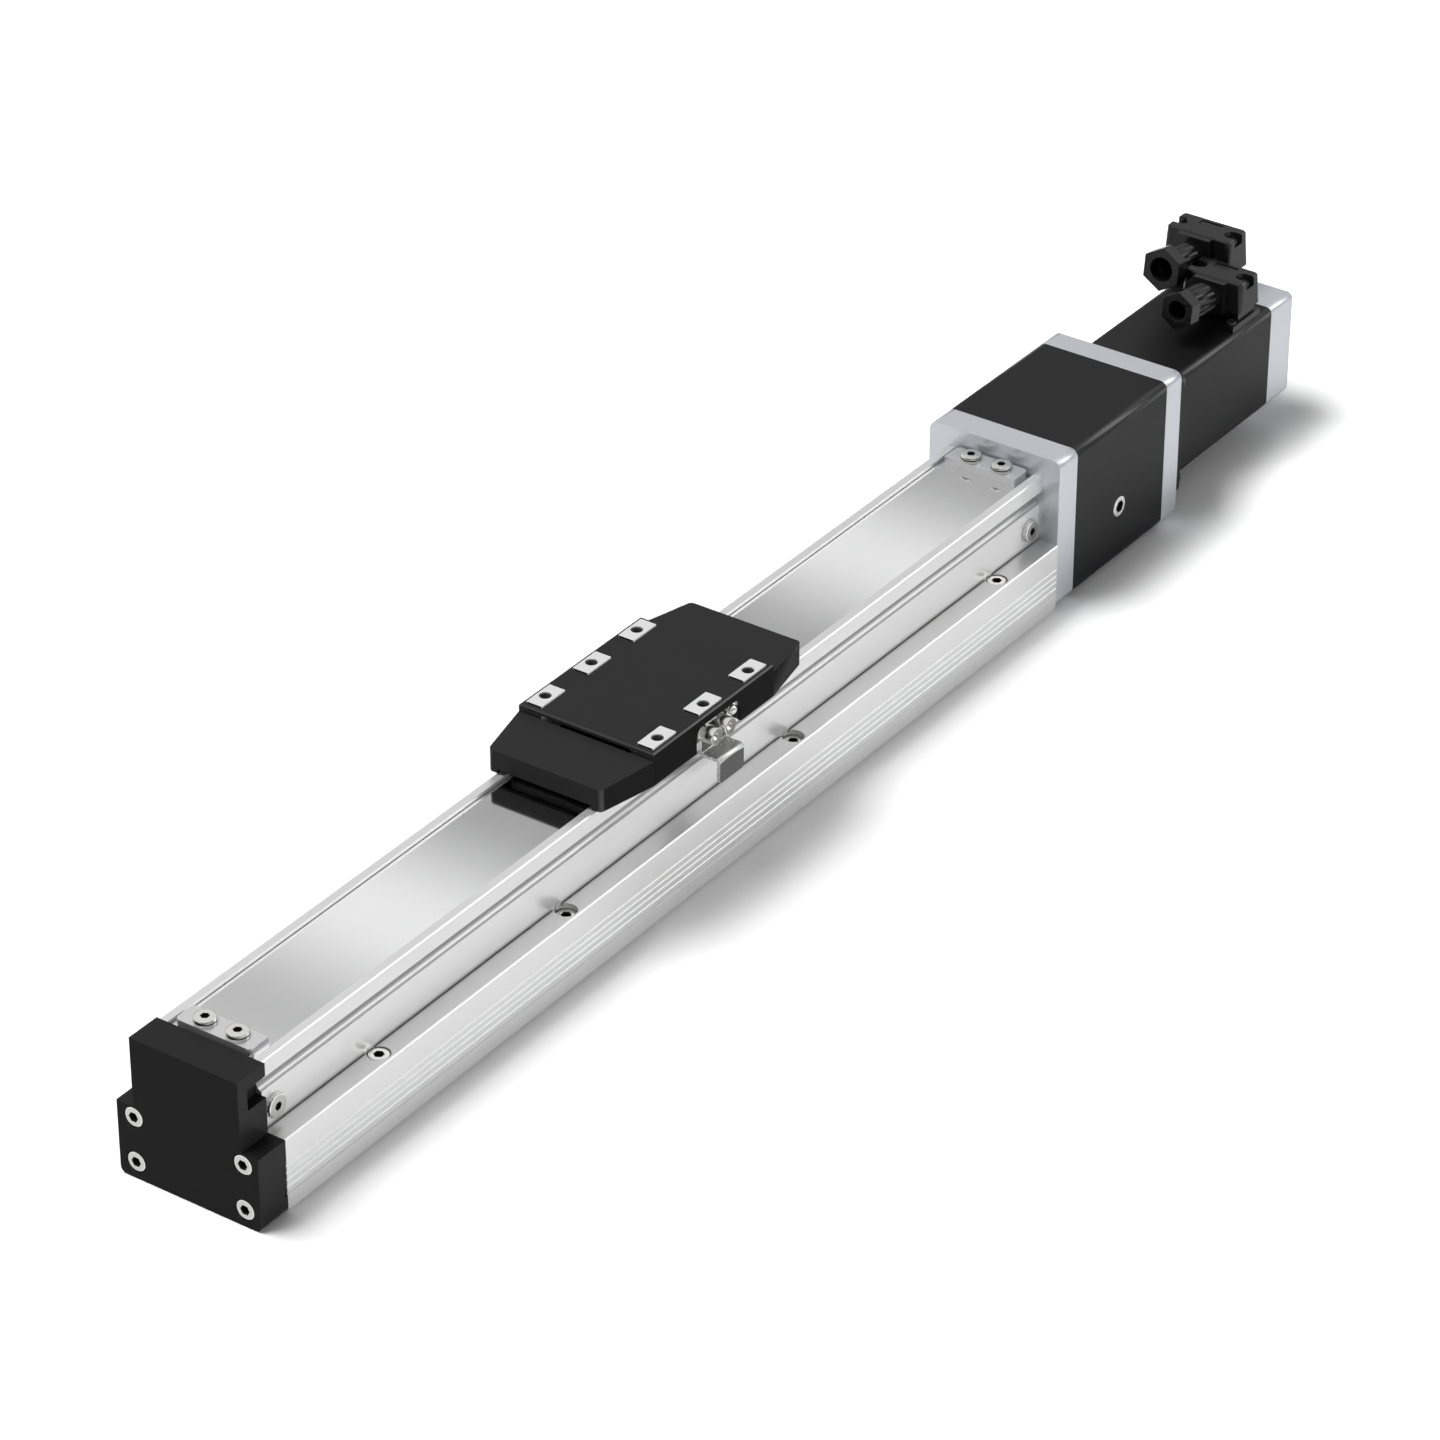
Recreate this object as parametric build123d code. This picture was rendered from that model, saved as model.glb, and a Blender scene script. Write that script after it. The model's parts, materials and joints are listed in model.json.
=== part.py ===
from build123d import *
import math
import os

# Ball screw linear module: a slider driven along a grooved body by a screw and a servo motor.
# Millimetres. X runs along the travel towards the motor, Z is up, and the origin is the middle
# of the body's mounting face. The flank that carries the sensor flag faces -Y.

# Body extrusion
body_length = 426.8
base_width = 54.0
ledge_height = 26.4
wall_width = 37.6
rail_width = 39.0
rail_height = 51.4
rail_foot_height = 45.5
rail_opening = 32.6
groove_foot_height = 40.4
groove_width = 33.6
groove_drop = 0.4
base_edge_chamfer = 0.8
top_edge_chamfer = 0.4
seam_width = 0.5
seam_depth = 0.9
floor_thickness = 7.0
cavity_width = 29.5
lip_thickness = 5.0
lip_opening = 24.4
flank_line_places = (9.4, 12.0, 14.4, 17.0)
flank_line_width = 0.7
flank_line_depth = 0.35
low_line_height = 6.7
low_line_width = 1.3

# Screw line
axis_height = 30.0
screw_diameter = 12.0
running_clearance = 0.05
turning_gap = 0.5
seat_gap = 0.02

# Guide rails and balls
guide_width = 3.25
guide_low = 10.5
guide_high = 19.5
ball_diameter = 3.2
ball_height = 15.0
ball_count = 7
ball_pitch = 8.0
raceway_clearance = 0.15
block_side_gap = 1.0

# Where the slider stands along its travel, from the body's middle
slider_position = 7.0

# Cover strip and its magnets
strip_thickness = 0.2
strip_recess = 1.4
strip_edge_gap = 0.3
strip_lift = 8.0
strip_bend = 4.7
ramp_run = 14.5
magnet_width = 3.0
magnet_thickness = 1.5
magnet_inset = 0.6

# Strip clamps
clamp_length = 8.6
clamp_width = 28.8
clamp_thickness = 2.9
clamp_corner = 1.8
clamp_setback = 1.0
clamp_screw_spacing = 12.4
clamp_head_diameter = 7.3
clamp_head_height = 1.8

# Free end
cap_thickness = 12.8
cap_upper_width = 41.0
cap_corner = 2.2
cap_notch_low = 39.2
cap_notch_high = 46.8
cap_notch_length = 8.5
cap_notch_depth = 3.8
cap_lever_depth = 0.4
cap_lever_length = 1.5
cap_lever_low = 6.4
cap_lever_high = 18.8
end_screw_spacing = 41.7
end_screw_low = 5.8
end_screw_high = 22.2
end_block_length = 16.0
end_block_side_gap = 0.15
free_bearing_outer = 19.0
free_bearing_width = 6.0
free_bearing_setback = 2.0
free_journal = 8.0
snap_ring_width = 0.8
snap_ring_diameter = 11.0
snap_ring_shoulder = 0.4

# Side screws into the end blocks
side_screw_height = 33.0
side_screw_free_inset = 5.2
side_screw_motor_inset = 6.6
side_head_diameter = 8.2
side_head_height = 1.8
side_screw_bite = 2.6

# Ledge screws, as distances from the body's free end and from its motor end
ledge_screw_spacing = 44.6
outer_screw_insets = (50.7, 31.9)
inner_screw_insets = (145.6, 155.6)
counterbore_diameter = 7.6
flush_recess = 0.2
deep_recess = 1.8

# Tapped holes under the base
base_hole_diameter = 4.2
base_hole_spacing_y = 24.0
base_hole_spans = (100.0, 300.0)

# Screws
m4_thread = 4.0
m4_head = 7.0
m4_head_height = 4.0
m4_reach = 8.0
m3_thread = 3.0
m3_head = 5.6
m3_head_height = 3.0
hole_gap = 0.1

# Motor end plates and coupling housing
plate_width = 53.5
plate_height = 58.0
plate_corner = 3.0
front_plate_thickness = 11.5
housing_length = 59.5
housing_bore = 40.0
rear_plate_thickness = 9.9
tie_screw_spacing_y = 45.2
tie_screw_spacing_z = 28.0
plug_diameter = 7.8
plug_drop = 7.2
plug_length = 3.0

# Fixed bearings
fixed_bearing_outer = 22.0
fixed_bearing_width = 6.0
fixed_bearing_count = 2
fixed_journal = 10.0
bearing_lip = 1.5
ring_thickness = 2.2
ring_gap = 0.3
retainer_flange_diameter = 38.0
retainer_flange_thickness = 4.0
retainer_bore = 17.4
retainer_screw_circle = 32.0
retainer_screw_reach = 6.0
lock_nut_diameter = 16.0
lock_nut_width = 7.0
lock_nut_slot_width = 3.0
lock_nut_slot_depth = 1.5
lock_nut_slot_start = 2.0
lock_nut_slots = 4

# Shaft coupling
coupling_diameter = 25.0
hub_length = 12.0
coupling_gap = 8.0
jaw_count = 3
jaw_inner_diameter = 11.0
jaw_angle = 52.0
jaw_first_turn = 90.0
jaw_end_gap = 1.0
coupling_screw_offset = 7.2
coupling_screw_length = 16.0
coupling_screw_diameter = 3.0
coupling_screw_head_height = 3.0
hub_slit_width = 1.0
star_lobe_share = 0.9
star_web_width = 1.6
star_web_inset = 1.2
star_web_overlap = 0.6
drive_journal = 8.0
journal_step = 1.0

# Motor
motor_width = 41.0
motor_corner = 2.5
motor_flange_width = 48.0
motor_flange_thickness = 7.0
motor_body_length = 67.4
encoder_cover_length = 16.3
encoder_rear_chamfer = 1.2
pilot_diameter = 30.0
pilot_height = 2.5
motor_shaft_diameter = 8.0
motor_shaft_reach = 25.0
motor_shaft_inner = 45.0
flange_screw_spacing = 39.0
flange_head_height = 2.8
flange_relief_diameter = 8.6
flange_relief_length = 3.4
rear_screw_spacing = 34.0
rear_screw_depth = 8.0

# Servo connectors, as places from the motor's rear end and centre plane
connector_tilt = 8.0
power_head_x = (-19.9, -7.1)
power_head_y = (-3.4, 23.2)
power_head_z = (60.0, 73.4)
power_foot_x = (-21.5, -5.6)
power_foot_y = (-2.2, 19.4)
power_gland_y = 10.5
power_gland_root = 65.5
power_gland_diameter = 10.4
power_gland_length = 18.9
power_nut_flats = 14.4
power_nut_length = 5.8
power_hole_diameter = 9.0
encoder_head_x = (-37.8, -25.0)
encoder_head_y = (-19.2, 4.6)
encoder_head_z = (57.0, 68.5)
encoder_foot_x = (-41.6, -22.8)
encoder_foot_y = (-19.0, 4.6)
encoder_gland_y = -7.0
encoder_gland_root = 61.6
encoder_gland_diameter = 10.0
encoder_gland_length = 18.6
encoder_nut_flats = 12.4
encoder_nut_length = 6.0
encoder_hole_diameter = 7.2
head_corner = 1.6
head_edge = 0.5
head_draft = 3.0
boss_length = 2.4
boss_margin = 1.4
boss_rim = 0.6
label_length = 9.0
label_width = 3.2
label_depth = 0.35
label_inset = 1.8
foot_thickness = 2.6
waist_inset = 0.8
gland_hole_depth = 14.0
gland_root_depth = 2.5
gland_flute_count = 12
gland_flute_diameter = 1.6
gland_flute_depth = 0.5
connector_screw_diameter = 2.5
connector_screw_head = 4.4
connector_screw_inset = 2.9
connector_screw_recess = 3.4
connector_screw_height = 1.6
connector_screw_reach = 3.0
screw_pocket_width = 5.2
foot_screw_diameter = 2.0
foot_screw_head = 3.4
foot_screw_height = 1.4
foot_screw_inset = 2.0
foot_screw_bite = 1.6

# Slider above the body
slider_width = 52.8
slider_core_length = 66.4
slider_low = 52.0
slider_top = 63.9
slider_wall = 1.4
slider_roof = 1.5
slider_edge = 0.5
table_low = 52.2
table_thickness = 3.8
leg_inner_width = 34.8
pad_length = 12.6
pad_width = 6.3
pad_top = 64.4
pad_pitch = 25.0
pad_spacing = 44.0
pad_hole_diameter = 4.2
pad_hole_depth = 8.0
middle_pad_hole_depth = 4.8
pad_corner = 0.4
pad_shift = 0.25
pad_window_gap = 0.15
end_cover_length = 22.2
end_cover_width = 43.8
end_cover_high = 61.1
end_cover_low = 60.1
end_cover_corner = 1.8
end_cover_wall = 1.5
end_cover_roof = 58.8
strip_slot_width = 37.0
strip_slot_height = 1.4
arch_start = -9.7
arch_end = 14.8
arch_height = 8.8
arch_corner = 3.5
arch_recess = 3.0
arch_land_margin = 0.8

# Strip rollers
roller_diameter = 8.0
roller_width = 30.0
roller_from_end = 6.2
roller_strip_gap = 0.2
roller_pin_diameter = 2.0
roller_pin_length = 39.0

# Slide block and ball nut inside the body
block_length = 72.0
block_low = 8.0
block_top_gap = 0.8
block_screw_bore = 14.0
neck_length = 50.0
neck_side_gap = 0.8
return_cap_length = 5.0
return_cap_corner = 2.0
nut_diameter = 20.0
nut_length = 34.0
nut_flange_diameter = 31.0
nut_flange_thickness = 5.0
nut_flange_flats = 26.0
nut_screw_circle = 24.6
nut_screw_angle = 50.0
nut_screw_reach = 6.0
table_screw_spacing_x = 36.0
table_screw_spacing_y = 14.0
table_screw_reach = 7.0
table_screw_head_depth = 2.2

# Rubber stops, which leave the slider a travel of 290
bumper_length = 11.0
bumper_outer = 24.0
bumper_inner = 15.0

# Sensor flag
flag_sheet = 1.2
flag_width = 13.4
flag_offset = 4.1
flag_face = 30.4
flag_shelf_height = 47.3
flag_low = 38.3
flag_foot_high = 58.6
flag_foot_margin = 3.4
flag_screw_spacing = 7.6
flag_screw_offset = 1.4
flag_screw_height = 55.7
flag_screw_head = 6.2
flag_screw_reach = 3.4
flag_head_height = 6.0
flag_bend = 1.0
flag_trim_gap = 0.6
flag_tip_chamfer = 0.8
nipple_offset = 10.8
nipple_height = 58.0
nipple_diameter = 4.8
nipple_tip_diameter = 3.2
nipple_length = 3.4
nipple_root = 3.0
nipple_ball_diameter = 3.6

# Places worked out from the sizes above
half_length = body_length / 2
strip_top = rail_height - strip_recess
strip_bottom = strip_top - strip_thickness
lip_underside = strip_bottom - lip_thickness
clamp_top = strip_top + clamp_thickness
front_plate_face = half_length + front_plate_thickness
housing_end = front_plate_face + housing_length
motor_face = housing_end + rear_plate_thickness
flange_end = motor_face + motor_flange_thickness
motor_body_end = flange_end + motor_body_length
motor_end = motor_body_end + encoder_cover_length
motor_top = axis_height + motor_width / 2
plug_x = front_plate_face + housing_length / 2
block_half = block_length / 2 + return_cap_length
core_end = slider_core_length / 2
slider_end = core_end + end_cover_length
roller_x = slider_end - roller_from_end
roller_height = strip_top + roller_strip_gap + roller_diameter / 2
leg_outer = slider_width / 2 - slider_wall
flag_seat = arch_recess - leg_outer
bearing_start = half_length - end_block_length + bearing_lip
bearing_end = bearing_start + fixed_bearing_count * fixed_bearing_width
hub_screw_start = plug_x - hub_length / 2
hub_motor_start = hub_screw_start + hub_length + coupling_gap
free_bearing_start = -half_length + free_bearing_setback


def block(x_range, y_range, z_range):
    """A cuboid between two corners."""
    size = [b - a for a, b in (x_range, y_range, z_range)]
    middle = [(a + b) / 2 for a, b in (x_range, y_range, z_range)]
    return Pos(*middle) * Box(*size)


def rod_x(start, end, diameter, y=0.0, z=axis_height):
    """A round bar along X."""
    return Pos((start + end) / 2, y, z) * Rot(0, 90, 0) * Cylinder(diameter / 2, end - start)


def rod_y(start, end, diameter, x, z):
    """A round bar along Y."""
    return Pos(x, (start + end) / 2, z) * Rot(90, 0, 0) * Cylinder(diameter / 2, end - start)


def rod_z(start, end, diameter, x, y):
    """A round bar along Z."""
    return Pos(x, y, (start + end) / 2) * Cylinder(diameter / 2, end - start)


def tube_x(start, end, outer, inner):
    """A ring on the screw line."""
    return rod_x(start, end, outer) - rod_x(start, end, inner)


def joined(solids):
    """Several separate solids as one group."""
    return Compound(children=[solid for shape in solids for solid in shape.solids()])


def mirrored_pair(shape):
    """The shape and its mirror image across the centre plane."""
    return joined([shape, mirror(shape, Plane.XZ)])


def rounded_bar(start, end, width, height, corner, centre_height=axis_height):
    """A bar along X with a rectangular section and rounded long edges."""
    section = RectangleRounded(width, height, corner)
    return extrude(Plane.YZ.offset(start) * Pos(0, centre_height) * section, end - start)


def corner_places(spacing_y, spacing_z):
    """Four places round the screw line."""
    return [(y, axis_height + z) for y in (-spacing_y / 2, spacing_y / 2)
            for z in (-spacing_z / 2, spacing_z / 2)]


def body_section():
    """Half of the extrusion's section is drawn and mirrored: y to the right, z up."""
    base_half = base_width / 2
    wall_half = wall_width / 2
    rail_half = rail_width / 2
    opening_half = rail_opening / 2
    lip_half = lip_opening / 2
    cavity_half = cavity_width / 2
    magnet_in = lip_half + magnet_inset
    magnet_out = magnet_in + magnet_width
    lower = [(0, 0), (base_half - base_edge_chamfer, 0), (base_half, base_edge_chamfer)]
    lines = [(low_line_height, low_line_width)]
    lines += [(height, flank_line_width) for height in flank_line_places]
    for height, width in lines:
        lower += [(base_half, height - width / 2), (base_half - flank_line_depth, height),
                  (base_half, height + width / 2)]
    lower += [(base_half, ledge_height - top_edge_chamfer),
              (base_half - top_edge_chamfer, ledge_height),
              (wall_half + seam_width, ledge_height),
              (wall_half + seam_width / 2, ledge_height - seam_depth),
              (wall_half, ledge_height),
              (wall_half, groove_foot_height)]
    upper = [(rail_half, rail_foot_height), (rail_half, rail_height - top_edge_chamfer),
             (rail_half - top_edge_chamfer, rail_height), (opening_half, rail_height),
             (opening_half, strip_bottom), (magnet_out, strip_bottom),
             (magnet_out, strip_bottom - magnet_thickness),
             (magnet_in, strip_bottom - magnet_thickness), (magnet_in, strip_bottom),
             (lip_half, strip_bottom), (lip_half, lip_underside), (cavity_half, lip_underside),
             (cavity_half, guide_high), (cavity_half + guide_width, guide_high),
             (cavity_half + guide_width, guide_low), (cavity_half, guide_low),
             (cavity_half, floor_thickness), (0, floor_thickness), (0, 0)]
    groove_middle = (groove_width / 2, (groove_foot_height + rail_foot_height) / 2 - groove_drop)
    groove = ThreePointArc(lower[-1], groove_middle, upper[0])
    half = make_face(Polyline(*lower) + groove + Polyline(*upper))
    return half + mirror(half, Plane.YZ)


def ledge_screw_places():
    """Where the ledge screws stand along the body, and how deep each one is sunk."""
    return [(place, recess) for (free, motor), recess in ((outer_screw_insets, flush_recess),
                                                          (inner_screw_insets, deep_recess))
            for place in (free - half_length, half_length - motor)]


def ledge_hole(x, recess):
    """A counterbored screw hole from the ledge down to the mounting face, on both sides."""
    seat = ledge_height - recess - m4_head_height
    mouth = rod_z(seat, ledge_height + 1, counterbore_diameter, x, ledge_screw_spacing / 2)
    shank = rod_z(-1, seat, m4_thread + hole_gap, x, ledge_screw_spacing / 2)
    return mirrored_pair(mouth + shank)


def body_profile():
    """The extruded body with its screw holes."""
    body = extrude(Plane.YZ.offset(-half_length) * body_section(), body_length)
    for x, recess in ledge_screw_places():
        body -= ledge_hole(x, recess)
    for y in (-end_screw_spacing / 2, end_screw_spacing / 2):
        for z in (end_screw_low, end_screw_high):
            depth = m4_reach + 1
            body -= rod_x(-half_length - 1, -half_length + depth, m4_thread + hole_gap, y, z)
            body -= rod_x(half_length - depth, half_length + 1, m4_thread + hole_gap, y, z)
    for x in (side_screw_free_inset - half_length, half_length - side_screw_motor_inset):
        body -= rod_y(-wall_width, wall_width, m4_thread + hole_gap, x, side_screw_height)
    for span in base_hole_spans:
        for x in (-span / 2, span / 2):
            for y in (-base_hole_spacing_y / 2, base_hole_spacing_y / 2):
                body -= rod_z(-1, floor_thickness + 1, base_hole_diameter, x, y)
    return body


def guide_rails():
    """Hardened inserts in the body's pockets, each with one ball groove."""
    inner = cavity_width / 2
    gap = seat_gap
    bar = block((-half_length, half_length), (inner, inner + guide_width - gap),
                (guide_low + gap, guide_high - gap))
    groove = rod_x(-half_length - 1, half_length + 1, ball_diameter + 2 * raceway_clearance,
                   inner - block_side_gap / 2, ball_height)
    return mirrored_pair(bar - groove)


def guide_balls():
    """The loaded balls between the slide block and the guide rails."""
    row = [Pos(slider_position + (n - (ball_count - 1) / 2) * ball_pitch,
               cavity_width / 2 - block_side_gap / 2, ball_height) * Sphere(ball_diameter / 2)
           for n in range(ball_count)]
    return mirrored_pair(joined(row))


def strip_path():
    """The strip's centre line: flat on the body, lifted over the slider's table."""
    low = strip_bottom + strip_thickness / 2
    high = low + strip_lift
    foot = roller_x - strip_bend * math.tan(math.atan(strip_lift / ramp_run) / 2)
    top = foot - ramp_run
    end = half_length - clamp_setback
    points = [(-end, low), (slider_position - foot, low), (slider_position - top, high),
              (slider_position + top, high), (slider_position + foot, low), (end, low)]
    return FilletPolyline(*points, radius=strip_bend)


def cover_strip():
    """The thin steel strip that closes the body's opening."""
    width = rail_opening - 2 * strip_edge_gap
    ribbon = Plane.XZ * trace(strip_path(), strip_thickness)
    strip = extrude(ribbon, width / 2, both=True)
    for x in clamp_screw_places():
        for y in (-clamp_screw_spacing / 2, clamp_screw_spacing / 2):
            strip -= rod_z(0, clamp_top, m4_thread + 2 * hole_gap, x, y)
    return strip


def magnet_strips():
    """Rubber magnets in the lips, which hold the strip down."""
    inner = lip_opening / 2 + magnet_inset
    bar = block((-half_length + clamp_length, half_length - clamp_length),
                (inner + seat_gap, inner + magnet_width - seat_gap),
                (strip_bottom - magnet_thickness, strip_bottom))
    return mirrored_pair(bar)


def clamp_screw_places():
    """Where the strip clamps' screws stand along the body."""
    inset = clamp_setback + clamp_length / 2
    return (-half_length + inset, half_length - inset)


def strip_clamp(x):
    """A clamp plate across the strip's end, with its two outer corners rounded."""
    sketch = Pos(x, 0, strip_top) * Rectangle(clamp_length, clamp_width)
    corners = sketch.vertices().sort_by(Axis.X)
    sketch = fillet(corners[-2:] if x > 0 else corners[:2], clamp_corner)
    plate = extrude(sketch, clamp_thickness)
    for y in (-clamp_screw_spacing / 2, clamp_screw_spacing / 2):
        plate -= rod_z(0, clamp_top + 1, m4_thread + hole_gap, x, y)
    return plate


def strip_clamp_screws():
    """Low-head screws through the clamps into the end blocks."""
    screws = []
    for x in clamp_screw_places():
        for y in (-clamp_screw_spacing / 2, clamp_screw_spacing / 2):
            head = rod_z(clamp_top, clamp_top + clamp_head_height, clamp_head_diameter, x, y)
            screws.append(head + rod_z(clamp_top - m4_reach, clamp_top, m4_thread, x, y))
    return joined(screws)


def cap_outline():
    """The free-end cap's outline, which follows the body's step."""
    base_half = base_width / 2
    upper_half = cap_upper_width / 2
    points = [(-base_half, 0), (base_half, 0), (base_half, ledge_height),
              (upper_half, ledge_height), (upper_half, rail_height),
              (-upper_half, rail_height), (-upper_half, ledge_height), (-base_half, ledge_height)]
    face = make_face(Polyline(*points, close=True))
    return fillet(face.vertices().sort_by(Axis.Y)[:2], cap_corner)


def free_end_cap():
    """The moulded cap over the free end, with a cable notch at each side groove."""
    outer = -half_length - cap_thickness
    cap = extrude(Plane.YZ.offset(outer) * cap_outline(), cap_thickness)
    notch = block((-half_length - cap_notch_length, -half_length + 1),
                  (cap_upper_width / 2 - cap_notch_depth, cap_upper_width),
                  (cap_notch_low, cap_notch_high))
    lever = block((-half_length - cap_lever_length, -half_length + 1),
                  (base_width / 2 - cap_lever_depth, base_width), (cap_lever_low, cap_lever_high))
    cap -= mirrored_pair(notch) + mirrored_pair(lever)
    for y in (-end_screw_spacing / 2, end_screw_spacing / 2):
        for z in (end_screw_low, end_screw_high):
            seat = outer + flush_recess + m4_head_height
            cap -= rod_x(outer - 1, seat, counterbore_diameter, y, z)
            cap -= rod_x(seat, -half_length + 1, m4_thread + hole_gap, y, z)
    return cap


def cap_screws():
    """Four socket screws that hold the cap on the body."""
    outer = -half_length - cap_thickness + flush_recess
    seat = outer + m4_head_height
    return joined([rod_x(outer, seat, m4_head, y, z)
                   + rod_x(seat, -half_length + m4_reach, m4_thread, y, z)
                   for y in (-end_screw_spacing / 2, end_screw_spacing / 2)
                   for z in (end_screw_low, end_screw_high)])


def end_block(start, end):
    """The filler that both end blocks are cut from, standing in the body's cavity."""
    side = cavity_width / 2 - end_block_side_gap
    neck = lip_opening / 2 - end_block_side_gap
    lower = block((start, end), (-side, side),
                  (floor_thickness, lip_underside - end_block_side_gap))
    upper = block((start, end), (-neck, neck), (lip_underside - 1, strip_bottom))
    return lower + upper


def end_block_holes(filler, clamp_x, side_x):
    """Tapped holes for the strip clamp above and the side screws."""
    thread = m4_thread + hole_gap
    for y in (-clamp_screw_spacing / 2, clamp_screw_spacing / 2):
        filler -= rod_z(clamp_top - m4_reach - 1, clamp_top, thread, clamp_x, y)
    inner = cavity_width / 2 - side_screw_bite - 1
    drill = rod_y(inner, cavity_width, thread, side_x, side_screw_height)
    return filler - mirrored_pair(drill)


def free_bearing_block():
    """The block that carries the screw's floating bearing."""
    start = -half_length
    end = start + end_block_length
    filler = end_block(start, end)
    filler -= rod_x(start - 1, free_bearing_start + free_bearing_width,
                    free_bearing_outer + 2 * seat_gap)
    filler -= rod_x(start, end + 1, screw_diameter + 2 * turning_gap)
    return end_block_holes(filler, clamp_screw_places()[0], start + side_screw_free_inset)


def fixed_bearing_block():
    """The block that carries the screw's fixed bearing pair."""
    end = half_length
    start = end - end_block_length
    filler = end_block(start, end)
    filler -= rod_x(bearing_start, end + 1, fixed_bearing_outer + 2 * seat_gap)
    filler -= rod_x(start - 1, end, fixed_bearing_outer - 4 * bearing_lip)
    return end_block_holes(filler, clamp_screw_places()[1], end - side_screw_motor_inset)


def bearing_outer(start, width, outer):
    """An outer ring with its shields, as a turned channel."""
    bore = outer - 2 * ring_thickness
    ring = tube_x(start, start + width, outer, bore - 2 * ring_gap)
    race = tube_x(start + ring_gap, start + width - ring_gap, bore, bore - 3 * ring_gap)
    return ring - race


def bearing_inner(start, width, outer, journal):
    """An inner ring that turns with the screw."""
    shoulder = outer - 2 * ring_thickness - 4 * ring_gap
    return tube_x(start, start + width, shoulder, journal + 2 * seat_gap)


def free_bearing_outer_ring():
    return bearing_outer(free_bearing_start, free_bearing_width, free_bearing_outer)


def free_bearing_inner_ring():
    return bearing_inner(free_bearing_start, free_bearing_width, free_bearing_outer, free_journal)


def fixed_bearing_places():
    """Where each ring of the fixed pair starts."""
    return [bearing_start + n * fixed_bearing_width for n in range(fixed_bearing_count)]


def fixed_bearing_outer_rings():
    return joined([bearing_outer(x, fixed_bearing_width, fixed_bearing_outer)
                   for x in fixed_bearing_places()])


def fixed_bearing_inner_rings():
    return joined([bearing_inner(x, fixed_bearing_width, fixed_bearing_outer, fixed_journal)
                   for x in fixed_bearing_places()])


def snap_ring():
    """The open ring that keeps the free bearing on its journal."""
    start = free_bearing_start - snap_ring_width
    ring = tube_x(start, free_bearing_start, snap_ring_diameter, free_journal + 2 * seat_gap)
    gap = block((start - 1, free_bearing_start + 1), (-snap_ring_width, snap_ring_width),
                (axis_height, axis_height + snap_ring_diameter))
    return ring - gap


def rubber_bumpers():
    """A rubber stop ring on each end block."""
    inner_face = half_length - end_block_length
    return joined([tube_x(-inner_face, bumper_length - inner_face, bumper_outer, bumper_inner),
                   tube_x(inner_face - bumper_length, inner_face, bumper_outer, bumper_inner)])


def side_screws():
    """Flat-headed screws through the upper walls into the end blocks."""
    wall = wall_width / 2
    inner = cavity_width / 2 - side_screw_bite
    screws = []
    for x in (side_screw_free_inset - half_length, half_length - side_screw_motor_inset):
        head = rod_y(wall, wall + side_head_height, side_head_diameter, x, side_screw_height)
        screws.append(head + rod_y(inner, wall, m4_thread, x, side_screw_height))
    return mirrored_pair(joined(screws))


def ledge_screws():
    """Socket screws standing in the ledge's counterbores, the middle ones deeper."""
    screws = []
    y = ledge_screw_spacing / 2
    for x, recess in ledge_screw_places():
        top = ledge_height - recess
        seat = top - m4_head_height
        head = rod_z(seat, top, m4_head, x, y)
        screws.append(head + rod_z(base_edge_chamfer, seat, m4_thread, x, y))
    return mirrored_pair(joined(screws))


def end_plate(start, end):
    """A square plate of the motor mount, resting clear of the mounting face."""
    return rounded_bar(start, end, plate_width, plate_height, plate_corner)


def front_plate():
    """The plate between the body and the coupling housing."""
    plate = end_plate(half_length, front_plate_face)
    plate -= rod_x(half_length - 1, front_plate_face + 1, fixed_bearing_outer + 2 * seat_gap)
    seat = front_plate_face - m4_head_height - flush_recess
    for y in (-end_screw_spacing / 2, end_screw_spacing / 2):
        for z in (end_screw_low, end_screw_high):
            plate -= rod_x(half_length - 1, seat, m4_thread + hole_gap, y, z)
            plate -= rod_x(seat, front_plate_face + 1, counterbore_diameter, y, z)
    for y, z in corner_places(tie_screw_spacing_y, tie_screw_spacing_z):
        start = front_plate_face - m4_reach - 1
        plate -= rod_x(start, front_plate_face + 1, m4_thread + hole_gap, y, z)
    for y, z in retainer_screw_places():
        start = front_plate_face - retainer_screw_reach - 1
        plate -= rod_x(start, front_plate_face + 1, m3_thread + hole_gap, y, z)
    return plate


def front_plate_screws():
    """Screws that hold the front plate on the body, under the housing."""
    end = front_plate_face - flush_recess
    seat = end - m4_head_height
    return joined([rod_x(seat, end, m4_head, y, z)
                   + rod_x(half_length - m4_reach, seat, m4_thread, y, z)
                   for y in (-end_screw_spacing / 2, end_screw_spacing / 2)
                   for z in (end_screw_low, end_screw_high)])


def retainer_screw_places():
    """Four places on the bearing retainer's bolt circle, on the diagonals."""
    offset = retainer_screw_circle / 2 * 2 ** -0.5
    return corner_places(2 * offset, 2 * offset)


def bearing_retainer():
    """The flanged ring whose nose presses on the fixed bearings."""
    flange_end_x = front_plate_face + retainer_flange_thickness
    nose = rod_x(bearing_end, front_plate_face, fixed_bearing_outer)
    flange = rod_x(front_plate_face, flange_end_x, retainer_flange_diameter)
    ring = nose + flange - rod_x(bearing_end - 1, flange_end_x + 1, retainer_bore)
    for y, z in retainer_screw_places():
        ring -= rod_x(front_plate_face - 1, flange_end_x + 1, m3_thread + hole_gap, y, z)
        seat = flange_end_x - m3_head_height
        ring -= rod_x(seat, flange_end_x + 1, m3_head + 2 * hole_gap, y, z)
    return ring


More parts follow.
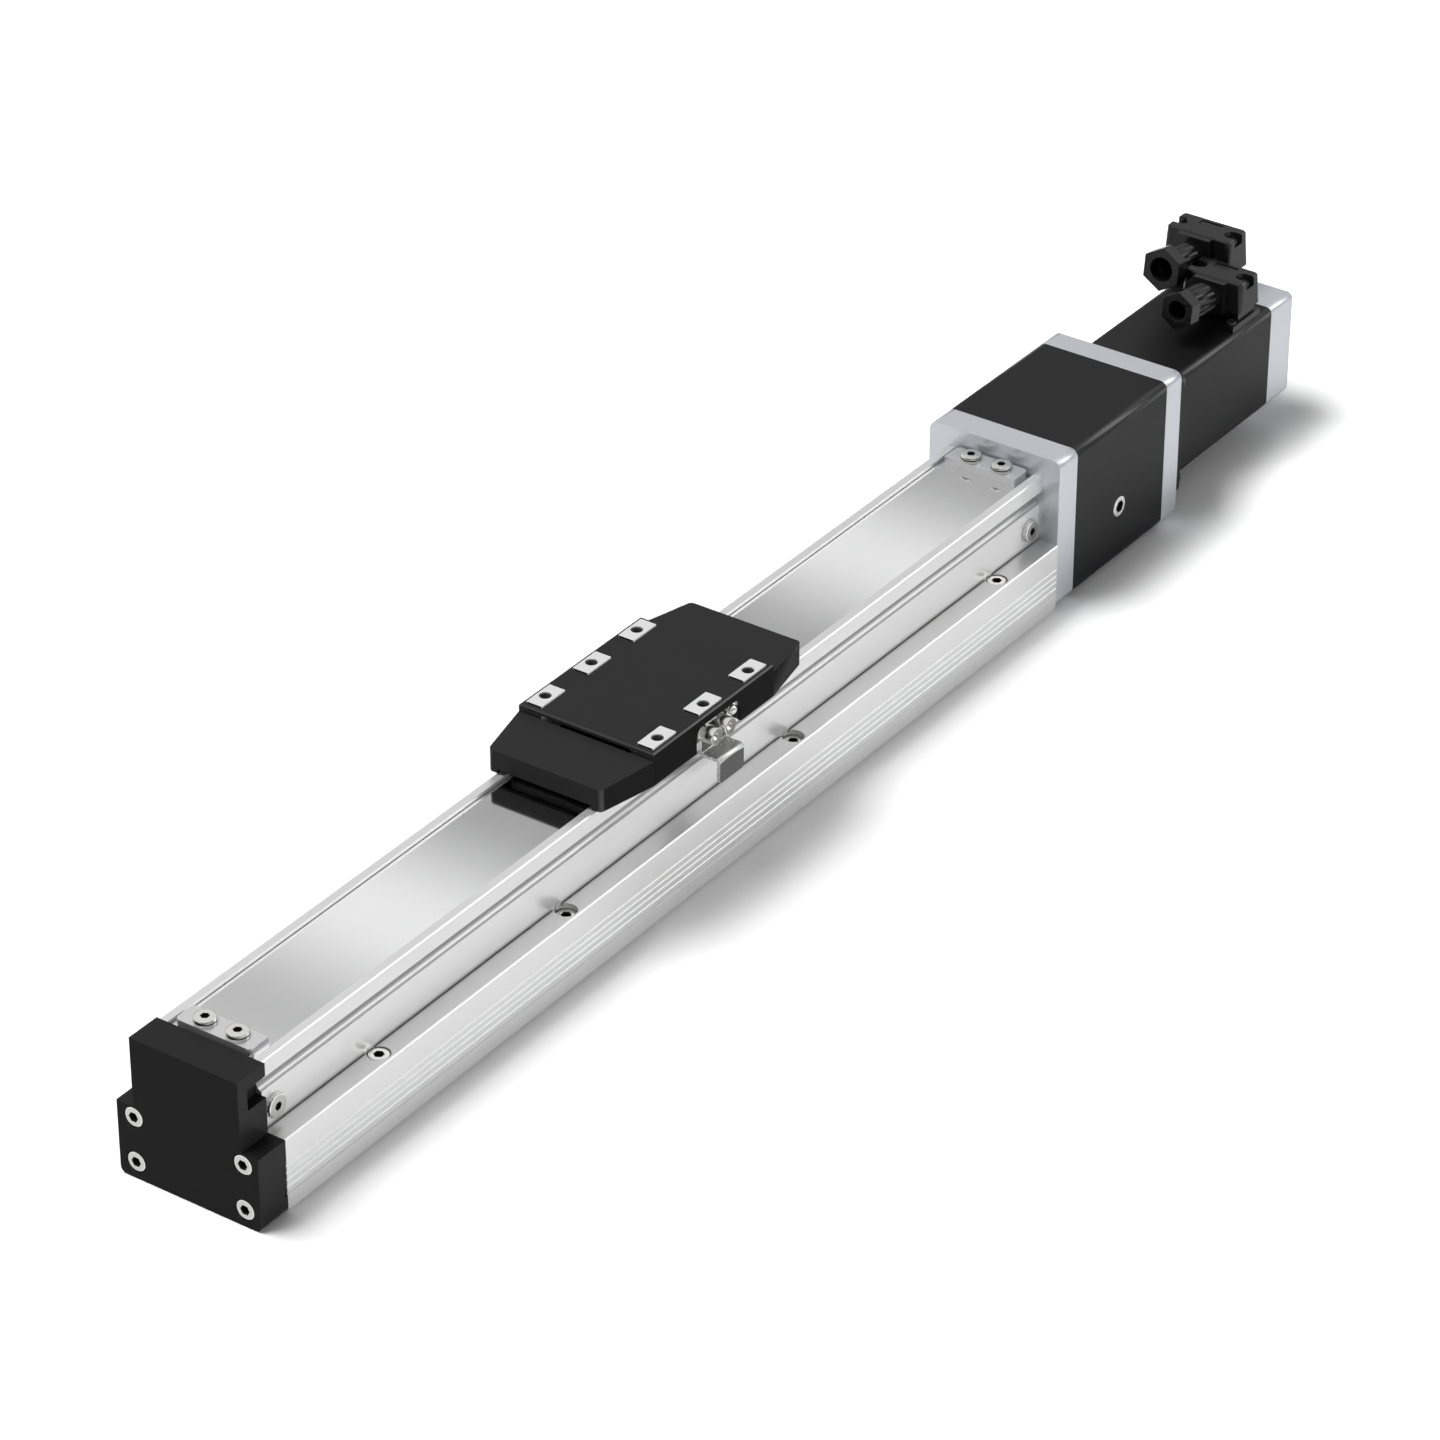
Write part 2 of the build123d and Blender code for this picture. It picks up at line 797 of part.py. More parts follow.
def retainer_screws():
    """Screws of the bearing retainer, flush in its flange."""
    end = front_plate_face + retainer_flange_thickness
    seat = end - m3_head_height
    return joined([rod_x(seat, end, m3_head, y, z)
                   + rod_x(front_plate_face - retainer_screw_reach, seat, m3_thread, y, z)
                   for y, z in retainer_screw_places()])


def coupling_housing():
    """The black box round the coupling, with an access hole to the coupling's screw."""
    box = end_plate(front_plate_face, housing_end)
    box -= rod_x(front_plate_face - 1, housing_end + 1, housing_bore)
    access = rod_y(-plate_width, 0, plug_diameter + hole_gap, plug_x, axis_height - plug_drop)
    box -= access
    for y, z in corner_places(tie_screw_spacing_y, tie_screw_spacing_z):
        box -= rod_x(front_plate_face - 1, housing_end + 1, m4_thread + 2 * hole_gap, y, z)
    return box


def access_plug():
    """The plug screw that closes the access hole."""
    face = -plate_width / 2 - flush_recess
    return rod_y(face, face + plug_length, plug_diameter, plug_x, axis_height - plug_drop)


def rear_plate():
    """The plate that carries the motor."""
    plate = end_plate(housing_end, motor_face)
    plate -= rod_x(housing_end - 1, motor_face + 1, pilot_diameter + 2 * seat_gap)
    seat = motor_face - m4_head_height - flush_recess
    for y, z in corner_places(tie_screw_spacing_y, tie_screw_spacing_z):
        plate -= rod_x(housing_end - 1, seat, m4_thread + hole_gap, y, z)
        plate -= rod_x(seat, motor_face + 1, m4_head + 2 * hole_gap, y, z)
    for y, z in corner_places(flange_screw_spacing, flange_screw_spacing):
        plate -= rod_x(housing_end - 1, motor_face + 1, m4_thread + hole_gap, y, z)
    return plate


def tie_screws():
    """Long screws through the rear plate and housing into the front plate."""
    end = motor_face - flush_recess
    seat = end - m4_head_height
    return joined([rod_x(seat, end, m4_head, y, z)
                   + rod_x(front_plate_face - m4_reach, seat, m4_thread, y, z)
                   for y, z in corner_places(tie_screw_spacing_y, tie_screw_spacing_z)])


def motor_flange():
    """The motor's square flange, with a round pilot in the rear plate."""
    flange = rounded_bar(motor_face, flange_end, motor_flange_width, motor_flange_width,
                         motor_corner)
    flange += rod_x(motor_face - pilot_height, motor_face, pilot_diameter)
    flange -= rod_x(motor_face - pilot_height - 1, flange_end + 1, motor_shaft_bore())
    for y, z in corner_places(flange_screw_spacing, flange_screw_spacing):
        flange -= rod_x(motor_face - 1, flange_end + 1, m4_thread + hole_gap, y, z)
    return flange


def motor_shaft_bore():
    """The hole that the motor's shaft turns in."""
    return motor_shaft_diameter + 2 * running_clearance


def motor_flange_screws():
    """Low-head screws at the flange's corners, into the rear plate."""
    return joined([rod_x(flange_end, flange_end + flange_head_height, m4_head, y, z)
                   + rod_x(motor_face - m4_reach, flange_end, m4_thread, y, z)
                   for y, z in corner_places(flange_screw_spacing, flange_screw_spacing)])


def motor_body():
    """The motor's housing, relieved at the corners for the flange screws."""
    body = rounded_bar(flange_end, motor_body_end, motor_width, motor_width, motor_corner)
    for y, z in corner_places(flange_screw_spacing, flange_screw_spacing):
        relief_end = flange_end + flange_relief_length
        body -= rod_x(flange_end - 1, relief_end, flange_relief_diameter, y, z)
    body -= rod_x(flange_end - 1, flange_end + motor_shaft_inner + 1, motor_shaft_bore())
    for y, z in corner_places(rear_screw_spacing, rear_screw_spacing):
        start = motor_body_end - rear_screw_depth - 1
        body -= rod_x(start, motor_body_end + 1, m3_thread + hole_gap, y, z)
    return body


def encoder_cover():
    """The silver cover at the motor's rear, with a bevelled back."""
    cover = rounded_bar(motor_body_end, motor_end, motor_width, motor_width, motor_corner)
    cover = chamfer(cover.faces().sort_by(Axis.X)[-1].edges(), encoder_rear_chamfer)
    for y, z in corner_places(rear_screw_spacing, rear_screw_spacing):
        cover -= rod_x(motor_body_end - 1, motor_end, m3_thread + hole_gap, y, z)
        cover -= rod_x(motor_end - m3_head_height, motor_end + 1, m3_head + 2 * hole_gap, y, z)
    return cover


def encoder_cover_screws():
    """Screws sunk in the back of the encoder cover."""
    seat = motor_end - m3_head_height
    return joined([rod_x(seat, motor_end - flush_recess, m3_head, y, z)
                   + rod_x(motor_body_end - rear_screw_depth, seat, m3_thread, y, z)
                   for y, z in corner_places(rear_screw_spacing, rear_screw_spacing)])


def motor_shaft():
    """The motor's shaft, from the rotor to the coupling."""
    return rod_x(motor_face - motor_shaft_reach, flange_end + motor_shaft_inner,
                 motor_shaft_diameter)


def shifted(x_range):
    """A stretch measured from the motor's rear end."""
    return tuple(motor_end + value for value in x_range)


def connector_screw_places(x_range, y_range):
    """A screw at the middle of each end of a connector's head."""
    middle = sum(shifted(x_range)) / 2
    return [(middle, y_range[0] + connector_screw_inset),
            (middle, y_range[1] - connector_screw_inset)]


def screw_pocket(x, y, end, floor, top):
    """A pocket round a screw, open above and towards the head's end."""
    half = screw_pocket_width / 2
    channel = block((x - half, x + half), (min(y, end), max(y, end)), (floor, top))
    return channel + rod_z(floor, top, screw_pocket_width, x, y)


def connector_head(x_range, y_range, z_range, gland):
    """A moulded head: drafted sides, a boss for the gland, screw pockets and a label panel."""
    (x0, x1), (y0, y1), (z0, z1) = shifted(x_range), y_range, z_range
    centre_x, centre_y = (x0 + x1) / 2, (y0 + y1) / 2
    spread = 2 * (z1 - z0) * math.tan(math.radians(head_draft))
    foot = Pos(centre_x, centre_y, z0) * RectangleRounded(x1 - x0 + spread, y1 - y0 + spread,
                                                         head_corner)
    crown = Pos(centre_x, centre_y, z1) * RectangleRounded(x1 - x0, y1 - y0, head_corner)
    head = loft([foot, crown])
    head = chamfer(head.faces().sort_by(Axis.Z)[-1].edges(), head_edge)
    gland_y, gland_root, gland_diameter = gland
    boss = gland_diameter / 2 + boss_margin
    head += block((x0 - boss_length, centre_x), (gland_y - boss, gland_y + boss),
                  (gland_root - gland_diameter / 2 - boss_rim, z1 - head_edge))
    label_back = x1 - label_inset
    head -= block((label_back - label_width, label_back),
                  (centre_y - label_length / 2, centre_y + label_length / 2),
                  (z1 - label_depth, z1 + 1))
    floor = z1 - connector_screw_recess
    for x, y in connector_screw_places(x_range, y_range):
        end = y0 - spread if y < centre_y else y1 + spread
        head -= screw_pocket(x, y, end, floor, z1 + 1)
        head -= rod_z(z0 - 1, z1, connector_screw_diameter + hole_gap, x, y)
    return head


def connector_foot(x_range, y_range, head_x, top):
    """The stepped foot of a connector on the motor's top."""
    y0, y1 = y_range
    front, back = shifted(head_x)
    step = waist_inset
    plate = block(shifted(x_range), y_range, (motor_top, motor_top + foot_thickness))
    waist = block((front + step, back - step), (y0 + step, y1 - step), (motor_top, top))
    return plate + waist


def connector_body(x_range, y_range, z_range, gland, foot_x, foot_y):
    """Head and foot of one servo connector."""
    body = connector_head(x_range, y_range, z_range, gland)
    foot = connector_foot(foot_x, foot_y, x_range, z_range[0])
    for x, y in connector_screw_places(x_range, y_range):
        drill = connector_screw_diameter + hole_gap
        foot -= rod_z(z_range[0] - connector_screw_reach - 1, z_range[1], drill, x, y)
    return body + foot


def power_connector():
    gland = (power_gland_y, power_gland_root, power_gland_diameter)
    return connector_body(power_head_x, power_head_y, power_head_z, gland, power_foot_x,
                          power_foot_y)


def encoder_connector():
    gland = (encoder_gland_y, encoder_gland_root, encoder_gland_diameter)
    body = connector_body(encoder_head_x, encoder_head_y, encoder_head_z, gland, encoder_foot_x,
                          encoder_foot_y)
    for x, y in foot_screw_places():
        body -= rod_z(motor_top - 1, encoder_head_z[0], foot_screw_diameter + hole_gap, x, y)
    return body


def foot_screw_places():
    """Two screws at the front corners of the encoder connector's foot."""
    x = motor_end + encoder_foot_x[0] + foot_screw_inset
    return [(x, encoder_foot_y[0] + foot_screw_inset), (x, encoder_foot_y[1] - foot_screw_inset)]


def connector_screws():
    """The small screws of both connectors' heads and of the encoder connector's foot."""
    screws = []
    for x_range, y_range, z_range in ((power_head_x, power_head_y, power_head_z),
                                      (encoder_head_x, encoder_head_y, encoder_head_z)):
        seat = z_range[1] - connector_screw_recess
        for x, y in connector_screw_places(x_range, y_range):
            head = rod_z(seat, seat + connector_screw_height, connector_screw_head, x, y)
            screws.append(head + rod_z(z_range[0] - connector_screw_reach, seat,
                                       connector_screw_diameter, x, y))
    seat = motor_top + foot_thickness
    for x, y in foot_screw_places():
        head = rod_z(seat, seat + foot_screw_height, foot_screw_head, x, y)
        screws.append(head + rod_z(seat - foot_screw_bite, seat, foot_screw_diameter, x, y))
    return joined(screws)


def placed_gland(shape, head_x, y, root):
    """Turn a gland part drawn along -X to its tilt, and set it on the connector's head."""
    return Pos(motor_end + head_x[0], y, root) * Rot(0, connector_tilt, 0) * shape


def gland_sleeve(diameter, length, nut_length, hole):
    """The fluted sleeve of a cable gland, drawn along -X from its root."""
    sleeve = rod_x(-length, gland_root_depth, diameter, 0, 0)
    flute_centre = diameter / 2 + gland_flute_diameter / 2 - gland_flute_depth
    for n in range(gland_flute_count):
        flute = rod_x(-length - 1, -gland_root_depth, gland_flute_diameter, 0, flute_centre)
        sleeve -= Rot(360 / gland_flute_count * n, 0, 0) * flute
    return sleeve - rod_x(-length - 1, gland_hole_depth - length - nut_length, hole, 0, 0)


def gland_nut(flats, length, sleeve_length, hole):
    """The hexagonal nut of a cable gland."""
    hexagon = Plane.YZ.offset(-sleeve_length - length) * RegularPolygon(
        flats / 2, 6, major_radius=False, rotation=30)
    nut = extrude(hexagon, length)
    return nut - rod_x(-sleeve_length - length - 1, 1 - sleeve_length, hole, 0, 0)


def power_gland_sleeve():
    sleeve = gland_sleeve(power_gland_diameter, power_gland_length, power_nut_length,
                          power_hole_diameter)
    sleeve = placed_gland(sleeve, power_head_x, power_gland_y, power_gland_root)
    return sleeve - power_connector()


def encoder_gland_sleeve():
    sleeve = gland_sleeve(encoder_gland_diameter, encoder_gland_length, encoder_nut_length,
                          encoder_hole_diameter)
    sleeve = placed_gland(sleeve, encoder_head_x, encoder_gland_y, encoder_gland_root)
    return sleeve - encoder_connector()


def power_gland_nut():
    nut = gland_nut(power_nut_flats, power_nut_length, power_gland_length, power_hole_diameter)
    return placed_gland(nut, power_head_x, power_gland_y, power_gland_root)


def encoder_gland_nut():
    nut = gland_nut(encoder_nut_flats, encoder_nut_length, encoder_gland_length,
                    encoder_hole_diameter)
    return placed_gland(nut, encoder_head_x, encoder_gland_y, encoder_gland_root)


def ball_screw():
    """The screw: full thread between the journals that its bearings and coupling take."""
    free_step = free_bearing_start + free_bearing_width
    thread = rod_x(free_step, bearing_start, screw_diameter)
    free_tip = free_bearing_start - snap_ring_width - snap_ring_shoulder
    free_end = rod_x(free_tip, free_step, free_journal)
    shoulder = bearing_end + lock_nut_width + journal_step
    fixed_end = rod_x(bearing_start, shoulder, fixed_journal)
    drive_end = rod_x(shoulder, hub_screw_start + hub_length - journal_step, drive_journal)
    return free_end + thread + fixed_end + drive_end


def lock_nut():
    """The slotted nut that draws the screw into the fixed bearings."""
    start = bearing_end + seat_gap
    nut = tube_x(start, start + lock_nut_width, lock_nut_diameter, fixed_journal + 2 * seat_gap)
    slot = block((start + lock_nut_slot_start, start + lock_nut_width + 1),
                 (-lock_nut_slot_width / 2, lock_nut_slot_width / 2),
                 (lock_nut_diameter / 2 - lock_nut_slot_depth, lock_nut_diameter))
    for n in range(lock_nut_slots):
        nut -= Pos(0, 0, axis_height) * Rot(360 / lock_nut_slots * n, 0, 0) * slot
    return nut


def jaw_sector(start, end, angle, half_angle):
    """A sector of the coupling between its inner and outer diameter."""
    reach = Vector(coupling_diameter, 0)
    sides = [tuple(reach.rotate(Axis.Z, turn)) for turn in (-half_angle, half_angle)]
    wedge = make_face(Polyline((0, 0), sides[0], sides[1], close=True))
    prism = extrude(Plane.YZ.offset(start) * Pos(0, axis_height) * Rot(0, 0, angle) * wedge,
                    end - start)
    return prism & tube_x(start, end, coupling_diameter, jaw_inner_diameter)


def coupling_hub(start, end, jaw_start, jaw_end, first_angle, bore):
    """A clamping hub with three jaws."""
    hub = tube_x(start, end, coupling_diameter, bore + 2 * seat_gap)
    middle = (start + end) / 2
    slit = block((start - 1, end + 1), (-hub_slit_width / 2, hub_slit_width / 2),
                 (axis_height - coupling_diameter, axis_height))
    hub -= slit
    for n in range(jaw_count):
        angle = first_angle + n * 360 / jaw_count
        hub += jaw_sector(jaw_start, jaw_end, angle, jaw_angle / 4)
    screw_z = axis_height - coupling_screw_offset
    half = coupling_screw_length / 2
    seat = coupling_screw_head_height - half
    hub -= rod_y(seat - 1, coupling_diameter, coupling_screw_diameter + hole_gap, middle, screw_z)
    return hub - rod_y(-coupling_diameter, seat, m3_head, middle, screw_z)


def screw_coupling_hub():
    end = hub_screw_start + hub_length
    return coupling_hub(hub_screw_start, end, end, end + coupling_gap - jaw_end_gap,
                        jaw_first_turn, drive_journal)


def motor_coupling_hub():
    start = hub_motor_start
    return coupling_hub(start, start + hub_length, start - coupling_gap + jaw_end_gap, start,
                        jaw_first_turn + 180 / jaw_count, motor_shaft_diameter)


def coupling_element():
    """The elastic star between the hubs' jaws."""
    start = hub_screw_start + hub_length + jaw_end_gap / 2
    end = hub_motor_start - jaw_end_gap / 2
    star = tube_x(start, end, jaw_inner_diameter - 2 * hole_gap, jaw_inner_diameter / 2)
    pitch = 180 / jaw_count
    half_angle = (pitch - jaw_angle / 2) / 2 * star_lobe_share
    for n in range(2 * jaw_count):
        angle = jaw_first_turn + (n + 0.5) * pitch
        star += jaw_sector(start, end, angle, half_angle)
        star += jaw_root(start, end, angle)
    return star


def jaw_root(start, end, angle):
    """The short web that ties a lobe of the star to its ring."""
    inner = jaw_inner_diameter / 2
    web = block((start, end), (inner - star_web_inset, inner + star_web_overlap),
                (-star_web_width / 2, star_web_width / 2))
    return Pos(0, 0, axis_height) * Rot(angle, 0, 0) * web


def coupling_screws():
    """The clamping screw of each hub."""
    half = coupling_screw_length / 2
    z = axis_height - coupling_screw_offset
    screws = []
    for start in (hub_screw_start, hub_motor_start):
        x = start + hub_length / 2
        seat = coupling_screw_head_height - half
        head = rod_y(-half, seat, m3_head - 2 * hole_gap, x, z)
        screws.append(head + rod_y(seat, half, coupling_screw_diameter, x, z))
    return joined(screws)


def slide_block():
    """The block between the guide rails, with a neck up through the body's opening."""
    x = slider_position
    half_width = cavity_width / 2 - block_side_gap
    top = lip_underside - block_top_gap
    neck_half = lip_opening / 2 - neck_side_gap
    core = block((x - block_length / 2, x + block_length / 2), (-half_width, half_width),
                 (block_low, top))
    neck = block((x - neck_length / 2, x + neck_length / 2), (-neck_half, neck_half),
                 (top - 1, table_low))
    core += neck
    groove = rod_x(x - block_length, x + block_length, ball_diameter + 2 * raceway_clearance,
                   cavity_width / 2 - block_side_gap / 2, ball_height)
    core -= mirrored_pair(groove)
    core -= rod_x(x - block_length, x + block_length, block_screw_bore)
    core -= rod_x(nut_seat() - nut_length, x + block_length, nut_diameter + 2 * seat_gap)
    for y, z in nut_screw_places():
        core -= rod_x(nut_seat() - nut_screw_reach - 1, nut_seat() + 1, m3_thread + hole_gap, y, z)
    recess = rod_x(nut_seat(), x + block_length, nut_flange_diameter + 2 * turning_gap)
    core -= recess
    for sx, sy in table_screw_places():
        core -= rod_z(table_low - table_screw_reach - 1, table_low + 1, m4_thread + hole_gap,
                      sx, sy)
    return core


def nut_seat():
    """The face in the slide block that the ball nut's flange sits on."""
    return slider_position + block_length / 2 - nut_flange_thickness


def nut_screw_places():
    """Four places on the ball nut's bolt circle."""
    spread = Vector(nut_screw_circle, 0).rotate(Axis.Z, nut_screw_angle)
    return corner_places(spread.X, spread.Y)


def ball_nut():
    """The flanged nut that the screw drives."""
    seat = nut_seat()
    nut = rod_x(seat - nut_length + turning_gap, seat + nut_flange_thickness, nut_diameter)
    flange = rod_x(seat, seat + nut_flange_thickness, nut_flange_diameter)
    flats = block((seat, seat + nut_flange_thickness),
                  (-nut_flange_flats / 2, nut_flange_flats / 2), (0, rail_height))
    nut += flange & flats
    nut -= rod_x(seat - nut_length, seat + nut_flange_thickness + 1,
                 screw_diameter + 2 * running_clearance)
    for y, z in nut_screw_places():
        nut -= rod_x(seat - 1, seat + nut_flange_thickness + 1, m3_thread + hole_gap, y, z)
        nut -= rod_x(seat + nut_flange_thickness - m3_head_height, seat + nut_flange_thickness + 1,
                     m3_head + 2 * hole_gap, y, z)
    return nut


def nut_screws():
    """Screws that hold the ball nut in the slide block."""
    end = nut_seat() + nut_flange_thickness
    seat = end - m3_head_height
    return joined([rod_x(seat, end, m3_head, y, z)
                   + rod_x(nut_seat() - nut_screw_reach, seat, m3_thread, y, z)
                   for y, z in nut_screw_places()])


def return_cap(start):
    """A moulded cap on the slide block's end that turns the balls round."""
    half_width = cavity_width / 2 - block_side_gap
    top = lip_underside - block_top_gap
    plan = Plane.YZ.offset(start) * Pos(0, (block_low + top) / 2) * RectangleRounded(
        2 * half_width, top - block_low, return_cap_corner)
    cap = extrude(plan, return_cap_length)
    cap -= rod_x(start - 1, start + return_cap_length + 1, block_screw_bore)
    groove = rod_x(start - 1, start + return_cap_length + 1,
                   ball_diameter + 2 * raceway_clearance,
                   cavity_width / 2 - block_side_gap / 2, ball_height)
    return cap - mirrored_pair(groove)


def free_return_cap():
    return return_cap(slider_position - block_half)


def motor_return_cap():
    return return_cap(slider_position + block_length / 2)


def pad_places():
    """The centres of the slider's six mounting pads."""
    return [(slider_position + n * pad_pitch, y) for n in (-1, 0, 1)
            for y in (-pad_spacing / 2, pad_spacing / 2)]


def pad_middle(y):
    """A pad's centre line, set in a little from its hole."""
    return y - math.copysign(pad_shift, y)


def table_screw_places():
    """Where the table is screwed to the slide block's neck."""
    return [(slider_position + x, y) for x in (-table_screw_spacing_x / 2,
                                              table_screw_spacing_x / 2)
            for y in (-table_screw_spacing_y / 2, table_screw_spacing_y / 2)]


def slider_table():
    """The table: a plate under the strip, two legs beside it, and six pads on the legs."""
    x_range = (slider_position - core_end, slider_position + core_end)
    plate_top = table_low + table_thickness
    table = block(x_range, (-leg_outer, leg_outer), (table_low, slider_top - slider_roof))
    table -= block((x_range[0] - 1, x_range[1] + 1), (-leg_inner_width / 2, leg_inner_width / 2),
                   (plate_top, pad_top))
    for x, y in pad_places():
        pad = extrude(Pos(x, pad_middle(y), slider_top - slider_roof)
                      * RectangleRounded(pad_length, pad_width, pad_corner),
                      pad_top - slider_top + slider_roof)
        table += pad
        depth = middle_pad_hole_depth if x == slider_position else pad_hole_depth
        table -= rod_z(pad_top - depth, pad_top + 1, pad_hole_diameter, x, y)
    for x, y in table_screw_places():
        table -= rod_z(table_low - 1, plate_top, m4_thread + hole_gap, x, y)
        table -= rod_z(plate_top - table_screw_head_depth, plate_top + 1, counterbore_diameter,
                       x, y)
    table -= flag_pocket()
    for x in flag_screw_places():
        table -= rod_y(-leg_outer, flag_seat + flag_screw_reach + hole_gap,
                       m3_thread + hole_gap, x, flag_screw_height)
    return table - rod_y(-leg_outer, flag_seat + nipple_root + hole_gap,
                         nipple_tip_diameter + hole_gap, slider_position + nipple_offset,
                         nipple_height)


def flag_pocket():
    """The pocket in the table's leg for the flag's foot, clear of the middle pad's hole."""
    land = pad_hole_diameter / 2 + arch_land_margin
    land_low = pad_top - middle_pad_hole_depth - arch_land_margin
    pocket = Pos(0, arch_recess, 0) * side_arch(arch_recess + 1)
    return pocket - block((slider_position - land, slider_position + land),
                          (-slider_width, 0), (land_low, pad_top))


def table_screws():
    """Flat-headed screws that tie the table to the slide block."""
    top = table_low + table_thickness
    seat = top - table_screw_head_depth
    return joined([rod_z(seat, top, m4_head, x, y)
                   + rod_z(table_low - table_screw_reach, seat, m4_thread, x, y)
                   for x, y in table_screw_places()])


def side_arch(depth):
    """The cut in the slider's side where the sensor flag and the nipple sit."""
    start = slider_position + arch_start
    end = slider_position + arch_end
    middle = (start + end) / 2
    sketch = RectangleRounded(end - start, 2 * arch_height, arch_corner)
    plane = Plane.XZ.offset(slider_width / 2 - slider_wall)
    return extrude(plane * Pos(middle, slider_low) * sketch, depth)


def slider_cover():
    """The black cover over the table, with windows for the pads."""
    x_range = (slider_position - core_end, slider_position + core_end)
    outer = slider_width / 2
    shell = block(x_range, (-outer, outer), (slider_low, slider_top))
    shell = chamfer(shell.faces().sort_by(Axis.Z)[-1].edges(), slider_edge)
    shell -= block((x_range[0] - 1, x_range[1] + 1), (-leg_outer, leg_outer),
                   (slider_low - 1, slider_top - slider_roof))
    for x, y in pad_places():
        gap = 2 * pad_window_gap
        window = extrude(Pos(x, pad_middle(y), slider_low)
                         * RectangleRounded(pad_length + gap, pad_width + gap, pad_corner),
                         pad_top - slider_low)
        shell -= window
    return shell - side_arch(slider_wall + 1)


def end_cover_solid(side):
    """The outer form of an end cover: tapered in plan, with a gently falling top."""
    inner = slider_position + side * core_end
    outer = slider_position + side * slider_end
    wide = slider_width / 2
    narrow = end_cover_width / 2
    plan = make_face(Polyline((inner, -wide), (outer, -narrow), (outer, narrow), (inner, wide),
                              close=True))
    tips = plan.vertices().sort_by(Axis.X)
    plan = fillet(tips[-2:] if side > 0 else tips[:2], end_cover_corner)
    prism = extrude(Pos(0, 0, slider_low) * plan, end_cover_high - slider_low)
    fall = make_face(Polyline((inner, slider_low), (outer, slider_low), (outer, end_cover_low),
                              (inner, end_cover_high), close=True))
    return prism & extrude(Plane.XZ * fall, wide, both=True)


def end_cover(side):
    """A slider end cover, hollow for the strip and its roller."""
    cover = end_cover_solid(side)
    inner = slider_position + side * (core_end - 1)
    wall = slider_position + side * (slider_end - end_cover_wall)
    outside = slider_position + side * (slider_end + 1)
    hollow = block((min(inner, wall), max(inner, wall)),
                   (-leg_inner_width / 2, leg_inner_width / 2), (slider_low - 1, end_cover_roof))
    slot = block((min(inner, outside), max(inner, outside)),
                 (-strip_slot_width / 2, strip_slot_width / 2),
                 (slider_low - 1, slider_low + strip_slot_height))
    pin = rod_y(-roller_pin_length / 2, roller_pin_length / 2, roller_pin_diameter + hole_gap,
                slider_position + side * roller_x, roller_height)
    return cover - hollow - slot - pin


def roller_pins():
    """The pins that carry the strip rollers in the end covers."""
    return joined([rod_y(-roller_pin_length / 2 + seat_gap, roller_pin_length / 2 - seat_gap,
                         roller_pin_diameter, slider_position + side * roller_x, roller_height)
                   for side in (-1, 1)])


def strip_roller(side):
    """A plastic roller that holds the strip down where it enters the slider."""
    x = slider_position + side * roller_x
    body = rod_y(-roller_width / 2, roller_width / 2, roller_diameter, x, roller_height)
    bore = roller_pin_diameter + 2 * running_clearance
    return body - rod_y(-roller_width, roller_width, bore, x, roller_height)


def flag_screw_places():
    """Where the flag's screws stand along the slider."""
    middle = slider_position + flag_screw_offset
    return [middle - flag_screw_spacing / 2, middle + flag_screw_spacing / 2]


def flag_bracket():
    """The bent sheet that trips the sensors: foot, shelf and flag."""
    middle_line = [(flag_seat - flag_sheet / 2, flag_foot_high),
                   (flag_seat - flag_sheet / 2, flag_shelf_height - flag_sheet / 2),
                   (flag_sheet / 2 - flag_face, flag_shelf_height - flag_sheet / 2),
                   (flag_sheet / 2 - flag_face, flag_low)]
    section = Plane.YZ * trace(FilletPolyline(*middle_line, radius=flag_bend), flag_sheet)
    middle = slider_position + flag_offset
    bracket = extrude(Pos(middle, 0, 0) * section, flag_width / 2, both=True)
    foot, inside = flag_seat - flag_sheet, flag_seat
    bracket += block((flag_screw_places()[0] - flag_foot_margin, middle), (foot, inside),
                     (flag_screw_height - flag_foot_margin, flag_foot_high))
    trim_start = slider_position + nipple_offset - nipple_diameter / 2 - flag_trim_gap
    bracket -= block((trim_start, slider_position + arch_end + 1), (foot - 1, inside + 1),
                     (nipple_height - nipple_diameter, flag_foot_high + 1))
    tips = bracket.edges().filter_by(Axis.Y).group_by(Axis.Z)[0]
    bracket = chamfer(tips, flag_tip_chamfer)
    for x in flag_screw_places():
        bracket -= rod_y(foot - 1, inside + 1, m3_thread + 2 * hole_gap, x, flag_screw_height)
    return bracket


def flag_screws():
    """The screws that hold the sensor flag on the slider."""
    foot = flag_seat - flag_sheet
    return joined([rod_y(foot - flag_head_height, foot, flag_screw_head, x, flag_screw_height)
                   + rod_y(foot, flag_seat + flag_screw_reach, m3_thread, x, flag_screw_height)
                   for x in flag_screw_places()])


def grease_nipple():
    """The ball nipple beside the flag, through which the slider is greased."""
    x = slider_position + nipple_offset
    collar = rod_y(flag_seat - nipple_length, flag_seat, nipple_diameter, x, nipple_height)
    root = rod_y(flag_seat, flag_seat + nipple_root, nipple_tip_diameter, x, nipple_height)
    ball = Pos(x, flag_seat - nipple_length, nipple_height) * Sphere(nipple_ball_diameter / 2)
    return collar + root + ball


